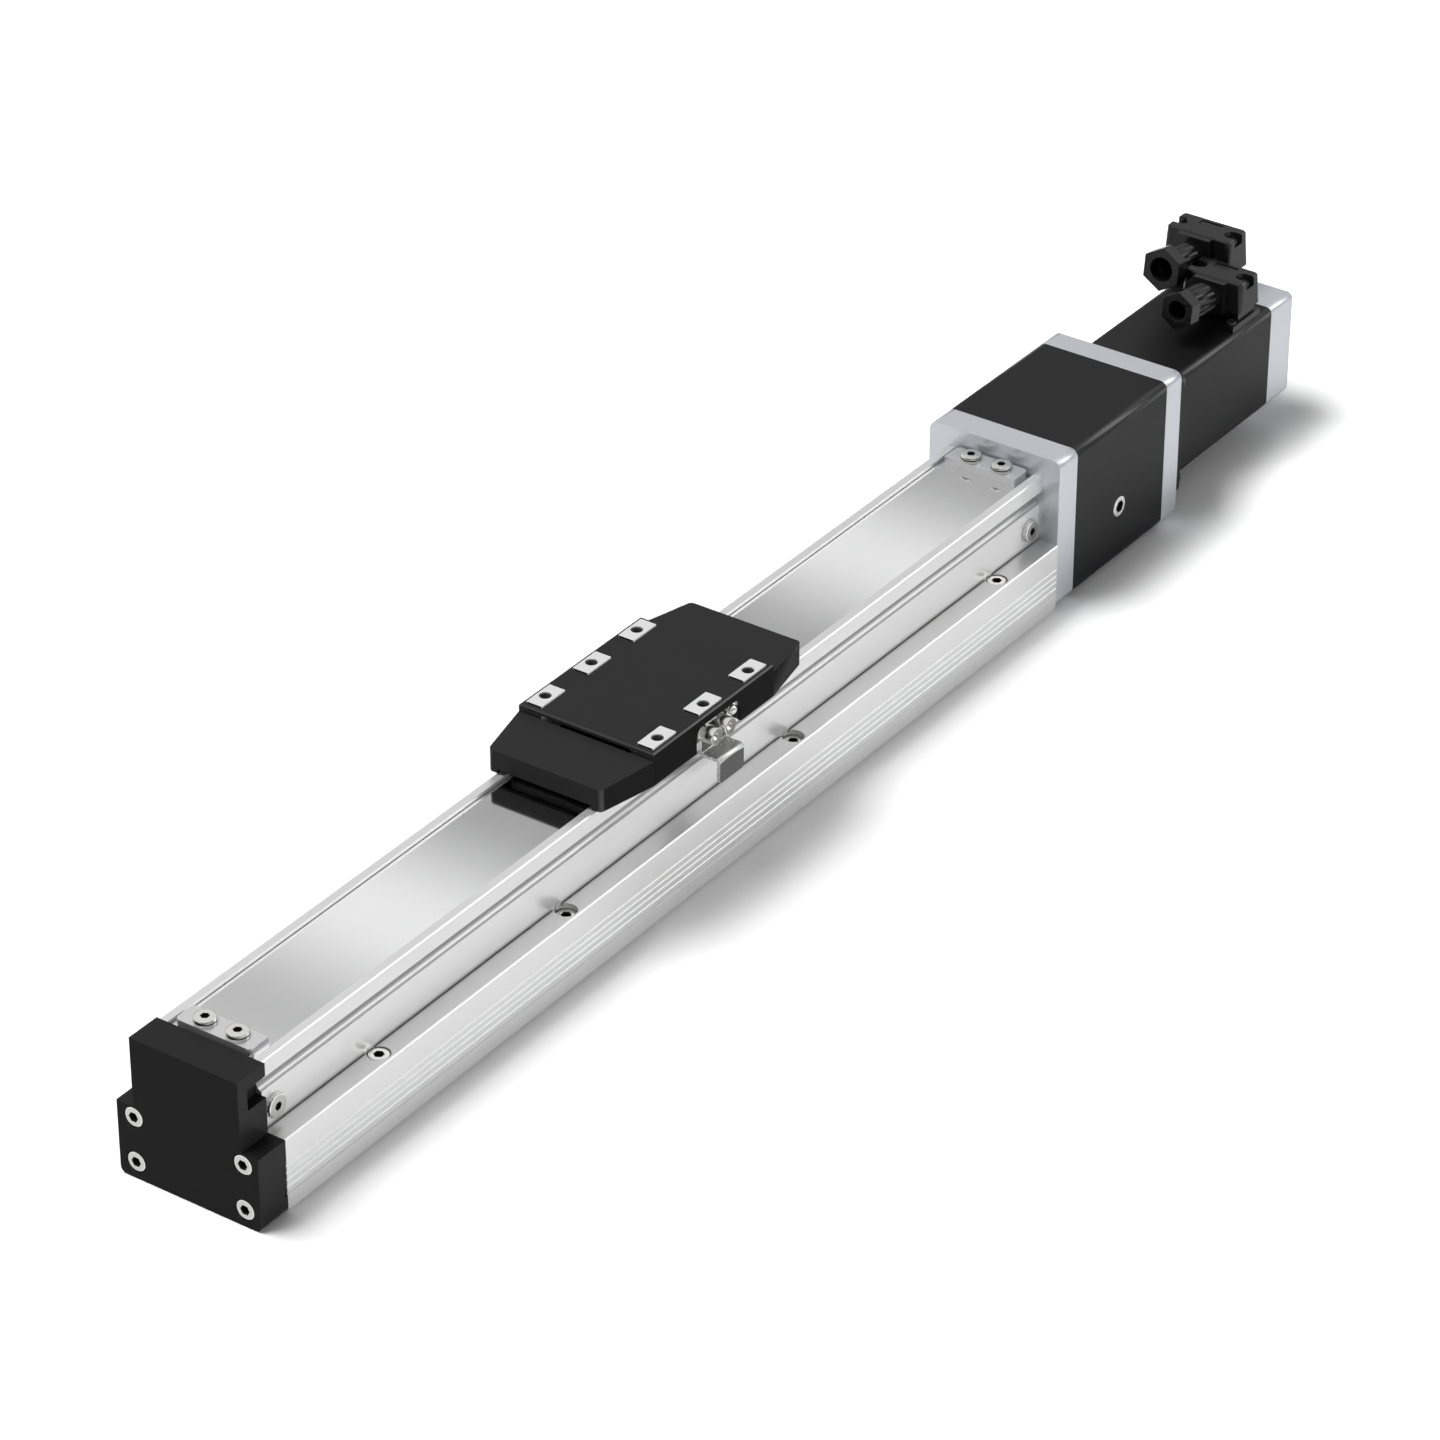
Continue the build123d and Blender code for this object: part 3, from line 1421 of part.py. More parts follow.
parts = {
    "body_profile": body_profile(),
    "guide_rails": guide_rails(),
    "magnet_strips": magnet_strips(),
    "cover_strip": cover_strip(),
    "strip_clamps": joined([strip_clamp(x) for x in clamp_screw_places()]),
    "strip_clamp_screws": strip_clamp_screws(),
    "free_end_cap": free_end_cap(),
    "cap_screws": cap_screws(),
    "free_bearing_block": free_bearing_block(),
    "fixed_bearing_block": fixed_bearing_block(),
    "free_bearing_outer_ring": free_bearing_outer_ring(),
    "free_bearing_inner_ring": free_bearing_inner_ring(),
    "snap_ring": snap_ring(),
    "fixed_bearing_outer_rings": fixed_bearing_outer_rings(),
    "fixed_bearing_inner_rings": fixed_bearing_inner_rings(),
    "bearing_retainer": bearing_retainer(),
    "retainer_screws": retainer_screws(),
    "lock_nut": lock_nut(),
    "rubber_bumpers": rubber_bumpers(),
    "side_screws": side_screws(),
    "ledge_screws": ledge_screws(),
    "front_plate": front_plate(),
    "front_plate_screws": front_plate_screws(),
    "coupling_housing": coupling_housing(),
    "access_plug": access_plug(),
    "rear_plate": rear_plate(),
    "tie_screws": tie_screws(),
    "motor_flange": motor_flange(),
    "motor_flange_screws": motor_flange_screws(),
    "motor_body": motor_body(),
    "encoder_cover": encoder_cover(),
    "encoder_cover_screws": encoder_cover_screws(),
    "power_connector": power_connector(),
    "encoder_connector": encoder_connector(),
    "connector_screws": connector_screws(),
    "power_gland_sleeve": power_gland_sleeve(),
    "encoder_gland_sleeve": encoder_gland_sleeve(),
    "power_gland_nut": power_gland_nut(),
    "encoder_gland_nut": encoder_gland_nut(),
    "ball_screw": ball_screw(),
    "screw_coupling_hub": screw_coupling_hub(),
    "motor_coupling_hub": motor_coupling_hub(),
    "coupling_element": coupling_element(),
    "coupling_screws": coupling_screws(),
    "motor_shaft": motor_shaft(),
    "slide_block": slide_block(),
    "ball_nut": ball_nut(),
    "nut_screws": nut_screws(),
    "return_caps": joined([free_return_cap(), motor_return_cap()]),
    "guide_balls": guide_balls(),
    "slider_table": slider_table(),
    "table_screws": table_screws(),
    "slider_cover": slider_cover(),
    "slider_end_covers": joined([end_cover(-1), end_cover(1)]),
    "roller_pins": roller_pins(),
    "free_strip_roller": strip_roller(-1),
    "motor_strip_roller": strip_roller(1),
    "flag_bracket": flag_bracket(),
    "flag_screws": flag_screws(),
    "grease_nipple": grease_nipple(),
}

os.makedirs("parts", exist_ok=True)
for name, shape in parts.items():
    export_step(shape, f"parts/{name}.step")
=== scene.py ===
import bpy
import json
import math
import numpy as np
from mathutils import Matrix, Vector


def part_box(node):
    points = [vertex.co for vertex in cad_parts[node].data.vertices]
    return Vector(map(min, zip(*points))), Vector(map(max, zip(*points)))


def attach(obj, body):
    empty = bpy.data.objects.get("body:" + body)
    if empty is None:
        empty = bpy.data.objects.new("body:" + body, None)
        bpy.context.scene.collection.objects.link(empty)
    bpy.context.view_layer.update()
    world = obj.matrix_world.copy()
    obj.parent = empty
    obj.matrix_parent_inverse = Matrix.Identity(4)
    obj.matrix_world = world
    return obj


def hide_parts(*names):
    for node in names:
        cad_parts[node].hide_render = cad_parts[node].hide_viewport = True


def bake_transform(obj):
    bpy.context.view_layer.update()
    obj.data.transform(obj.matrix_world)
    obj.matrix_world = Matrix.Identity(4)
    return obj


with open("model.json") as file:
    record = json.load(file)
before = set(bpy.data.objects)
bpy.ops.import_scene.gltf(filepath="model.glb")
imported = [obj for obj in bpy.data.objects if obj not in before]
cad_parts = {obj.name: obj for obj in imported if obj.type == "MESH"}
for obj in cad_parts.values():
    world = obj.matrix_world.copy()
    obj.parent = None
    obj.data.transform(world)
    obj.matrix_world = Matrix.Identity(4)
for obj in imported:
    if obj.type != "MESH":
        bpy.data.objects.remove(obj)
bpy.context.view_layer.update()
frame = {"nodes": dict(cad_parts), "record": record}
mm = 0.001
print("frame loaded:", len(frame["nodes"]), "nodes")


def addNode(tree, kind, settings, inputs, output=0):
    node = tree.nodes.new(kind)
    for name, value in settings.items():
        setattr(node, name, value)
    for name, value in inputs.items():
        if isinstance(value, Signal):
            tree.links.new(value.socket, node.inputs[name])
        else:
            node.inputs[name].default_value = value
    return Signal(node.outputs[output])


def maths(operation, first, second=0.0):            # a Math node on two values, at least one of them a Signal
    tree = (first if isinstance(first, Signal) else second).socket.id_data
    return addNode(tree, "ShaderNodeMath", {"operation": operation}, {0: first, 1: second})


class Signal:
    def __init__(self, socket):                     # wraps an output socket, so that sums add Math nodes
        self.socket = socket

    def __add__(self, other):
        return maths("ADD", self, other)

    def __sub__(self, other):
        return maths("SUBTRACT", self, other)

    def __mul__(self, other):
        return maths("MULTIPLY", self, other)

    def __rsub__(self, other):
        return maths("SUBTRACT", other, self)

    __radd__ = __add__
    __rmul__ = __mul__


def mixed(tree, share, first, second):              # the second colour over the first, by share
    return addNode(tree, "ShaderNodeMix", {"data_type": "RGBA"}, {0: share, 6: first, 7: second}, 2)


def grey(tree, value):                              # a value as a colour
    return addNode(tree, "ShaderNodeCombineColor", {}, {0: value, 1: value, 2: value})


def axesOf(tree, vector):                           # the X, Y and Z of a vector
    outputs = addNode(tree, "ShaderNodeSeparateXYZ", {}, {0: vector}).socket.node.outputs
    return {axis: Signal(outputs[axis]) for axis in "XYZ"}


def objectPlace(tree):                              # the row frame's coordinates
    return addNode(tree, "ShaderNodeTexCoord", {}, {}, "Object")


def noise(tree, scale, detail):                     # noise on the row frame's coordinates, stretched by scale
    point = addNode(tree, "ShaderNodeMapping", {}, {"Vector": objectPlace(tree), "Scale": scale})
    return addNode(tree, "ShaderNodeTexNoise", {}, {"Vector": point, "Scale": 1.0, "Detail": detail}, "Fac")


def newMaterial(name):
    material = bpy.data.materials.new(name)
    material.use_nodes = True
    return material, material.node_tree, material.node_tree.nodes["Principled BSDF"]


def shaded(colour, share):                          # the colour made darker or lighter, with its alpha
    return (*[min(1, part * share) for part in colour], 1)


paint = {"broadShare": 0.6, "broadDetail": 2.0, "fineDetail": 4.0, "bumpDistance": 0.05 * mm,
         "flatLimit": 0.97, "hollowShare": 0.25, "hollowSamples": 8, "grooveShare": 0.15,
         "edgeRise": 8, "edgeRoughness": 0.22}


def faceShade(tree, finish, tint, along):            # painted shade: an own, darker colour on flats that look back along an axis
    for axis, colour in finish.get("face", {}).items():
        flat = maths("LESS_THAN", along[axis], -paint["flatLimit"])
        tint = mixed(tree, flat, tint, (*colour, 1))
    return tint


def hollowShade(tree, finish, tint):                 # painted shade: darker in grooves narrower than twice the reach
    look = {"only_local": True, "samples": paint["hollowSamples"]}
    free = addNode(tree, "ShaderNodeAmbientOcclusion", look, {"Distance": finish["hollow"]}, "AO")
    return mixed(tree, free, shaded(finish["colour"], paint["hollowShare"]), tint)


def grooveShade(tree, finish, tint):                 # painted shade: darker towards the top of the body's side grooves, under the rail
    groove = finish["groove"]
    place = axesOf(tree, objectPlace(tree))
    within = maths("LESS_THAN", maths("ABSOLUTE", place["Y"]), groove["reach"])
    within = within * maths("LESS_THAN", place["Z"], groove["top"])
    climb = addNode(tree, "ShaderNodeMapRange", {}, {"Value": place["Z"], "From Min": groove["low"],
                                                     "From Max": groove["high"], "To Max": groove["most"]})
    return mixed(tree, within * climb, tint, shaded(finish["colour"], paint["grooveShare"]))


def edgeCoat(finish, along):
    # polish on rounded edges: one less the greatest part of the normal, so none on flats along the axes
    most = maths("ABSOLUTE", along["X"])
    for axis in "YZ":
        most = maths("MAXIMUM", most, maths("ABSOLUTE", along[axis]))
    return maths("MINIMUM", (1 - most) * paint["edgeRise"] * finish["edge"], finish["edge"])


def makeMaterial(name, finish):
    material, tree, shader = newMaterial(name)
    shader.inputs["Metallic"].default_value = finish["metallic"]
    shader.inputs["Specular IOR Level"].default_value = finish.get("shine", 0.5)
    # broad is the slow change of tone and polish, and fine is tool lines, moulding grain or blasting
    broad = noise(tree, finish["broadScale"], paint["broadDetail"])
    fine = noise(tree, finish["fineScale"], paint["fineDetail"])
    spread, tone, colour = finish["roughSpread"], finish["tone"], finish["colour"]
    rough = finish["roughness"] + (broad - 0.5) * spread + (fine - 0.5) * spread
    patches = broad * paint["broadShare"] + fine * (1 - paint["broadShare"])
    tint = mixed(tree, patches, shaded(colour, 1 - tone), shaded(colour, 1 + tone))
    along = axesOf(tree, addNode(tree, "ShaderNodeNewGeometry", {}, {}, "Normal"))
    tint = faceShade(tree, finish, tint, along)
    if "hollow" in finish:
        tint = hollowShade(tree, finish, tint)
    if "groove" in finish:
        tint = grooveShade(tree, finish, tint)
    if "edge" in finish:
        tree.links.new(edgeCoat(finish, along).socket, shader.inputs["Coat Weight"])
        shader.inputs["Coat Roughness"].default_value = paint["edgeRoughness"]
    bump = addNode(tree, "ShaderNodeBump", {}, {"Strength": finish["bump"], "Distance": paint["bumpDistance"],
                                                "Height": fine})
    tree.links.new(tint.socket, shader.inputs["Base Color"])
    tree.links.new(rough.socket, shader.inputs["Roughness"])
    tree.links.new(bump.socket, shader.inputs["Normal"])
    return material


def even(scale):                                    # the same scale along all three axes
    return (scale, scale, scale)


# tone and roughSpread say how far the colour and the polish vary, and broadScale and fineScale how closely
# face gives flats that look back along an axis a darker colour of their own, which is painted shade, and edge
# is the polish on rounded edges
# hollow is half the width of a seam that gets painted shade, and groove says where the body's side grooves
# get painted shade, darker towards the top
finishes = {
    "body_aluminium": {
        "colour": (0.72, 0.72, 0.72), "metallic": 0.5, "roughness": 0.32, "roughSpread": 0.05, "tone": 0.012,
        "broadScale": (3, 60, 60), "fineScale": (6, 2600, 2600), "bump": 0.015,     # stretched along the body
        # painted shade: in the seams, and in the side grooves under the rails
        "hollow": 2.0 * mm,
        "groove": {"reach": 17.6 * mm, "low": 39.6 * mm, "high": 42.6 * mm, "top": 45.7 * mm, "most": 0.8}},
    "plate_aluminium": {
        "colour": (0.61, 0.625, 0.665), "metallic": 0.6, "roughness": 0.30, "roughSpread": 0.06, "tone": 0.02,
        "broadScale": even(40), "fineScale": even(1500), "bump": 0.05},
    # painted shade: its flats that look along -X are near-black
    "pad_aluminium": {
        "colour": (0.82, 0.82, 0.82), "metallic": 0.35, "roughness": 0.36, "roughSpread": 0.06, "tone": 0.02,
        "broadScale": even(90), "fineScale": even(1500), "bump": 0.04, "face": {"X": (0.03, 0.03, 0.03)}},
    "black_aluminium": {
        "colour": (0.006, 0.006, 0.007), "metallic": 0.0, "roughness": 0.4, "roughSpread": 0.08, "tone": 0.1,
        "broadScale": even(30), "fineScale": even(1500), "bump": 0.10, "shine": 0.16, "edge": 0.8},
    # painted shade: its flats that look along -X are darker
    "cap_black": {
        "colour": (0.016, 0.016, 0.0165), "metallic": 0.0, "roughness": 0.36, "roughSpread": 0.08,
        "tone": 0.1, "broadScale": even(30), "fineScale": even(1500), "bump": 0.10, "shine": 0.08,
        "edge": 0.7, "face": {"X": (0.001, 0.001, 0.001)}},
    # painted shade: its flats that look along -Y are darker
    "cover_black": {
        "colour": (0.029, 0.029, 0.030), "metallic": 0.0, "roughness": 0.4, "roughSpread": 0.08, "tone": 0.06,
        "broadScale": even(30), "fineScale": even(1500), "bump": 0.10, "shine": 0.03, "edge": 0.7,
        "face": {"Y": (0.001, 0.001, 0.001)}},
    "motor_black": {
        "colour": (0.008, 0.008, 0.008), "metallic": 0.0, "roughness": 0.42, "roughSpread": 0.1, "tone": 0.1,
        "broadScale": even(25), "fineScale": even(1100), "bump": 0.25, "shine": 0.16, "edge": 0.8},
    "black_plastic": {
        "colour": (0.009, 0.009, 0.0095), "metallic": 0.0, "roughness": 0.36, "roughSpread": 0.1,
        "tone": 0.12, "broadScale": even(50), "fineScale": even(1800), "bump": 0.15, "shine": 0.20},
    "gland_black": {
        "colour": (0.007, 0.007, 0.0075), "metallic": 0.0, "roughness": 0.24, "roughSpread": 0.1,
        "tone": 0.12, "broadScale": even(50), "fineScale": even(1800), "bump": 0.20, "shine": 0.24,
        "edge": 0.35},
    "strip_steel": {
        "colour": (0.78, 0.78, 0.785), "metallic": 1.0, "roughness": 0.07, "roughSpread": 0.02, "tone": 0.012,
        "broadScale": (4, 50, 50), "fineScale": (5, 3000, 3000), "bump": 0.01},
    "clamp_steel": {
        "colour": (0.66, 0.66, 0.665), "metallic": 0.75, "roughness": 0.30, "roughSpread": 0.05, "tone": 0.02,
        "broadScale": even(90), "fineScale": (60, 2200, 2200), "bump": 0.03},
    # painted shade: its flats that look along -Y are darker
    "flag_steel": {
        "colour": (0.72, 0.72, 0.715), "metallic": 0.6, "roughness": 0.27, "roughSpread": 0.02, "tone": 0.01,
        "broadScale": even(90), "fineScale": even(900), "bump": 0.01, "face": {"Y": (0.055, 0.055, 0.055)}},
    "bearing_steel": {
        "colour": (0.62, 0.62, 0.63), "metallic": 1.0, "roughness": 0.16, "roughSpread": 0.06, "tone": 0.03,
        "broadScale": even(60), "fineScale": even(1500), "bump": 0.03},
    # painted shade: flats that look along -X, such as head faces, are darker
    "screw_steel": {
        "colour": (0.74, 0.735, 0.72), "metallic": 1.0, "roughness": 0.22, "roughSpread": 0.10, "tone": 0.05,
        "broadScale": even(200), "fineScale": even(2500), "bump": 0.06, "face": {"X": (0.54, 0.54, 0.53)}},
    # painted shade: head faces that look along -Y are darker
    "side_screw_steel": {
        "colour": (0.74, 0.735, 0.72), "metallic": 1.0, "roughness": 0.22, "roughSpread": 0.10, "tone": 0.05,
        "broadScale": even(200), "fineScale": even(2500), "bump": 0.06, "face": {"Y": (0.42, 0.42, 0.41)}},
    # painted shade: head faces that look along -Y are darker
    "flag_screw_steel": {
        "colour": (0.70, 0.695, 0.68), "metallic": 1.0, "roughness": 0.20, "roughSpread": 0.06, "tone": 0.05,
        "broadScale": even(200), "fineScale": even(2500), "bump": 0.02, "face": {"Y": (0.20, 0.20, 0.195)}},
    "screw_black": {
        "colour": (0.03, 0.03, 0.032), "metallic": 0.7, "roughness": 0.34, "roughSpread": 0.10, "tone": 0.10,
        "broadScale": even(200), "fineScale": even(2500), "bump": 0.10},
    "rubber": {
        "colour": (0.014, 0.014, 0.014), "metallic": 0.0, "roughness": 0.75, "roughSpread": 0.1, "tone": 0.15,
        "broadScale": even(80), "fineScale": even(1500), "bump": 0.25, "shine": 0.3},
    "magnet_rubber": {
        "colour": (0.05, 0.045, 0.04), "metallic": 0.0, "roughness": 0.7, "roughSpread": 0.1, "tone": 0.15,
        "broadScale": even(80), "fineScale": even(1500), "bump": 0.2},
    "coupling_rubber": {
        "colour": (0.42, 0.03, 0.02), "metallic": 0.0, "roughness": 0.5, "roughSpread": 0.1, "tone": 0.10,
        "broadScale": even(80), "fineScale": even(1500), "bump": 0.12},
    "roller_plastic": {
        "colour": (0.012, 0.012, 0.012), "metallic": 0.0, "roughness": 0.35, "roughSpread": 0.08,
        "tone": 0.08, "broadScale": even(80), "fineScale": even(1500), "bump": 0.08, "shine": 0.25},
    # painted shade: near-black for the threads inside the slider table's tapped holes
    "thread_dark": {
        "colour": (0.06, 0.06, 0.06), "metallic": 0.6, "roughness": 0.40, "roughSpread": 0.1, "tone": 0.1,
        "broadScale": even(1500), "fineScale": even(1500), "bump": 0.05, "shine": 0.3},
    # painted shade: near-black for the inside of screw sockets and the groove over a collar
    "socket_dark": {
        "colour": (0.02, 0.02, 0.02), "metallic": 0.2, "roughness": 0.55, "roughSpread": 0.1, "tone": 0.1,
        "broadScale": even(1500), "fineScale": even(1500), "bump": 0.1, "shine": 0.2},
}
ownFinish = {                                       # nodes whose finish isn't that of their material slot
    "strip_clamps": "clamp_steel", "flag_bracket": "flag_steel", "slider_table": "pad_aluminium",
    "free_end_cap": "cap_black", "slider_cover": "cover_black", "slider_end_covers": "cover_black",
    "power_connector": "gland_black", "encoder_connector": "gland_black",
    "power_gland_nut": "gland_black", "encoder_gland_nut": "gland_black",
}
materials = {name: makeMaterial(name, finish) for name, finish in finishes.items()}
slotOf = {part["node"]: part["material_slot"] for part in frame["record"]["subparts"]}
for node, cadObject in frame["nodes"].items():
    for slot in cadObject.material_slots:
        slot.material = materials[ownFinish.get(node, slotOf[node])]
print("materials:", len(materials))

bevelPlan = {"weld": 0.001 * mm, "segments": 2, "angle": 35}
softened = {                                        # the width of each node's bevel, which catches the light
    "free_end_cap": 0.4 * mm, "front_plate": 0.35 * mm, "rear_plate": 0.35 * mm,
    "coupling_housing": 0.25 * mm,
    "slider_cover": 0.3 * mm, "slider_end_covers": 0.35 * mm, "slider_table": 0.12 * mm,
    "strip_clamps": 0.2 * mm, "flag_bracket": 0.12 * mm, "grease_nipple": 0.15 * mm,
    "motor_flange": 0.3 * mm, "motor_body": 0.2 * mm, "encoder_cover": 0.25 * mm,
    "power_connector": 0.2 * mm, "encoder_connector": 0.2 * mm,
    "power_gland_nut": 0.2 * mm, "encoder_gland_nut": 0.2 * mm,
    "free_bearing_block": 0.2 * mm, "fixed_bearing_block": 0.2 * mm,
}


def softenEdges(node, width):                       # the bevel stays inside the CAD outline
    cadObject = frame["nodes"][node]
    weld = cadObject.modifiers.new("weld", "WELD")
    weld.merge_threshold = bevelPlan["weld"]
    bevel = cadObject.modifiers.new("bevel", "BEVEL")
    bevel.width, bevel.segments = width, bevelPlan["segments"]
    bevel.limit_method, bevel.angle_limit = "ANGLE", math.radians(bevelPlan["angle"])
    bevel.harden_normals = True


for node, width in softened.items():
    softenEdges(node, width)
print("edges softened:", len(softened))


def addPiece(name, points, faces, body, slot, replaced=(), sharp=35, finish=None):
    mesh = bpy.data.meshes.new(name)
    mesh.from_pydata(points.tolist(), [], faces)
    mesh.update()
    mesh.shade_smooth()
    mesh.set_sharp_from_angle(angle=math.radians(sharp))
    mesh.materials.append(materials[finish or slot])
    piece = bpy.data.objects.new(name, mesh)
    bpy.context.scene.collection.objects.link(piece)
    if body:                                        # a piece without one is left unattached to any body
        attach(piece, body)
    if replaced:
        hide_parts(*replaced)
    return piece


def mountOf(name):
    return next(mount for mount in frame["record"]["mounts"] if mount["name"] == name)


def rings(radius, height, place, axis):
    # rings of points about an axis: radius has a row for each height and a column for each turn
    # a point is the place plus the radius times cosine and sine of its turn, plus its height along the axis
    axis = np.array(axis, float)
    side = np.cross(axis, (0, 0, 1)) if abs(axis[2]) < 0.9 else np.array((1.0, 0, 0))
    side = side / np.linalg.norm(side)
    third = np.cross(axis, side)
    count, sides = radius.shape
    turn = np.arange(sides) * 2 * math.pi / sides
    ring = (radius * np.cos(turn))[..., None] * side + (radius * np.sin(turn))[..., None] * third
    points = (np.array(place, float) + ring + np.asarray(height)[:, None, None] * axis).reshape(-1, 3)
    base = np.arange(count - 1)[:, None] * sides
    here, there = np.arange(sides), (np.arange(sides) + 1) % sides
    quads = np.stack([base + here, base + there, base + there + sides, base + here + sides], -1)
    ends = [list(range(sides))[::-1], list(range(len(points) - sides, len(points)))]    # both ends are closed
    return points, quads.reshape(-1, 4).tolist() + ends


def turned(rows, place, axis, sides, teeth=0):
    # a profile turned about an axis: each row is (radius, height, share of hexagon, depth of teeth)
    # a hexagon's radius: its corner's times cosine 30 degrees over cosine of the turn from a flat's middle
    turn = np.arange(sides) * 2 * math.pi / sides
    hexagon = math.cos(math.pi / 6) / np.cos(turn % (math.pi / 3) - math.pi / 6)
    rows = np.array([(*row, 0, 0)[:4] for row in rows], float)
    radius = rows[:, :1] * (1 + rows[:, 2:3] * (hexagon - 1)) + rows[:, 3:4] * np.cos(turn * teeth)
    return rings(radius, rows[:, 1], place, axis)


def gathered(shells):                               # several closed shells as one mesh's points and faces
    points, faces, start = [], [], 0
    for shellPoints, shellFaces in shells:
        points.append(shellPoints)
        faces += [[corner + start for corner in face] for face in shellFaces]
        start += len(shellPoints)
    return np.concatenate(points), faces


# each screw's own dictionary gives its head, its shank and the width and depth of its hexagon key's socket
# count and teeth are the number and depth of the rim's teeth, and small is for the node's smaller screws
screwShape = {"sides": 48, "tip": 0.8, "tipRise": 0.2, "rimFoot": 1 / 3, "rimStep": 0.3, "gap": 0.12 * mm,
              "point": 0.15, "cone": 0.3 * mm, "collarBands": (4, 7), "socketBands": 3, "sameHead": 0.3 * mm}


def screwRows(spec):
    # from the tip up: shank, underside, a thin collar if it has one, the rim, the dished face and the socket
    shape = screwShape
    head, height, shank, reach = spec["head"] / 2, spec["height"], spec["shank"] / 2, spec["reach"]
    rim, teeth, collar, gap = spec["chamfer"], spec.get("teeth", 0), spec.get("collar", 0), shape["gap"]
    key, face = spec["key"] / math.sqrt(3), height - spec.get("dish", 0)
    foot = [(head - rim * shape["rimFoot"], 0), (head, rim * shape["rimFoot"], 0, teeth)]
    if collar:                                      # a groove under the rim parts the collar from the head
        foot = [(head, 0), (head, collar), (head - collar, collar + gap), (head - collar, 2 * collar),
                (head, 2 * collar + gap)]
    return [(shank * shape["tip"], -reach), (shank, -reach + shank * shape["tipRise"]), (shank, 0), *foot,
            (head, height - rim, 0, teeth), (head - rim * shape["rimStep"], height - rim * shape["rimStep"]),
            (head - rim, height), (head - rim - gap, height), (key + 2 * gap, face, 1), (key + gap, face, 1),
            (key, face - gap, 1), (key, face - spec["depth"], 1),
            (key * shape["point"], face - spec["depth"] - spec.get("cone", shape["cone"]), 1)]


def solidsOf(node):
    # each solid's low and high corner: corners that share a triangle take the same label until none changes
    mesh = frame["nodes"][node].data
    points, corner = np.empty(len(mesh.vertices) * 3), np.empty(len(mesh.loops), dtype=np.int64)
    mesh.vertices.foreach_get("co", points)
    mesh.loops.foreach_get("vertex_index", corner)
    places, welded = np.unique(np.round(points.reshape(-1, 3), 6), axis=0, return_inverse=True)
    faces = welded.reshape(-1)[corner].reshape(-1, 3)
    label, before = np.arange(len(places)), None
    while before is None or (label != before).any():
        before = label.copy()
        np.minimum.at(label, faces, label[faces].min(1)[:, None])
        label = label[label]
    return [(places[label == one].min(0), places[label == one].max(0)) for one in np.unique(label)]


def addScrews(name, spec, direction, body="base", slot="screw_steel"):
    # a turned screw on each solid of the node: its head stands at the solid's end, along the direction
    axis = np.array(direction, float)
    sides = screwShape["sides"]
    shells = []
    for low, high in solidsOf(spec["node"]):
        way = axis * (math.copysign(1, np.dot(axis, low + high)) if spec.get("mirrored") else 1)
        across = (high - low)[np.abs(axis) < 0.5].max()
        long = (high - low) @ np.abs(axis)
        small = abs(across - spec["head"]) > screwShape["sameHead"] and "small" in spec
        own = {**spec, **spec["small"]} if small else dict(spec)
        own["reach"] = long - own["height"]
        own["head"] -= 2 * spec.get("teeth", 0)
        foot = (low + high) / 2 + way * (long / 2 - own["height"])
        shells.append(turned(screwRows(own), foot, way, sides, spec.get("count", 0)))
    piece = addPiece(name, *gathered(shells), body, slot, [spec["node"]], finish=spec.get("finish"))
    if spec.get("darkSocket", True):                # painted shade: each shell's last bands and last end are the socket, which gets a near-black material
        dark = np.zeros((len(shells), len(shells[0][1])), dtype=np.int32)
        dark[:, -screwShape["socketBands"] * sides - 2:] = 1
        dark[:, -2] = 0                             # the end at the shank's tip isn't
        if spec.get("collar"):                      # painted shade: and so is the groove over the collar
            first, last = screwShape["collarBands"]
            dark[:, first * sides:last * sides] = 1
        piece.data.materials.append(materials["socket_dark"])
        piece.data.polygons.foreach_set("material_index", dark.reshape(-1))


capScrew = {"node": "cap_screws", "head": 7.0 * mm, "height": 4.0 * mm, "shank": 4.0 * mm,
            "chamfer": 0.45 * mm, "key": 3.0 * mm, "depth": 2.2 * mm}
addScrews("capScrews", capScrew, (-1, 0, 0))

ledgeScrew = {"node": "ledge_screws", "head": 7.0 * mm, "height": 4.0 * mm, "shank": 4.0 * mm,
              "chamfer": 0.5 * mm, "key": 3.0 * mm, "depth": 2.2 * mm}
addScrews("ledgeScrews", ledgeScrew, (0, 0, 1))

clampScrew = {"node": "strip_clamp_screws", "head": 7.3 * mm, "height": 1.8 * mm, "shank": 4.0 * mm,
              "chamfer": 0.4 * mm, "key": 2.5 * mm, "depth": 1.3 * mm, "collar": 0.35 * mm}
addScrews("clampScrews", clampScrew, (0, 0, 1))

sideScrew = {"node": "side_screws", "head": 8.2 * mm, "height": 1.8 * mm, "shank": 4.0 * mm,
             "chamfer": 0.5 * mm, "key": 2.5 * mm, "depth": 1.3 * mm, "teeth": 0.1 * mm, "count": 16,
             "mirrored": True, "finish": "side_screw_steel"}
addScrews("sideScrews", sideScrew, (0, 1, 0))

plug = {"node": "access_plug", "head": 7.8 * mm, "height": 2.0 * mm, "shank": 7.2 * mm, "chamfer": 0.4 * mm,
        "key": 4.0 * mm, "depth": 1.6 * mm}
addScrews("accessPlug", plug, (0, -1, 0))

flagScrew = {"node": "flag_screws", "head": 6.2 * mm, "height": 6.0 * mm, "shank": 3.0 * mm,
             "chamfer": 0.3 * mm, "key": 2.2 * mm, "depth": 0.2 * mm, "cone": 0.9 * mm, "dish": 0.5 * mm,
             "collar": 0.3 * mm, "darkSocket": False, "finish": "flag_screw_steel"}
addScrews("flagScrews", flagScrew, (0, -1, 0), "carriage")

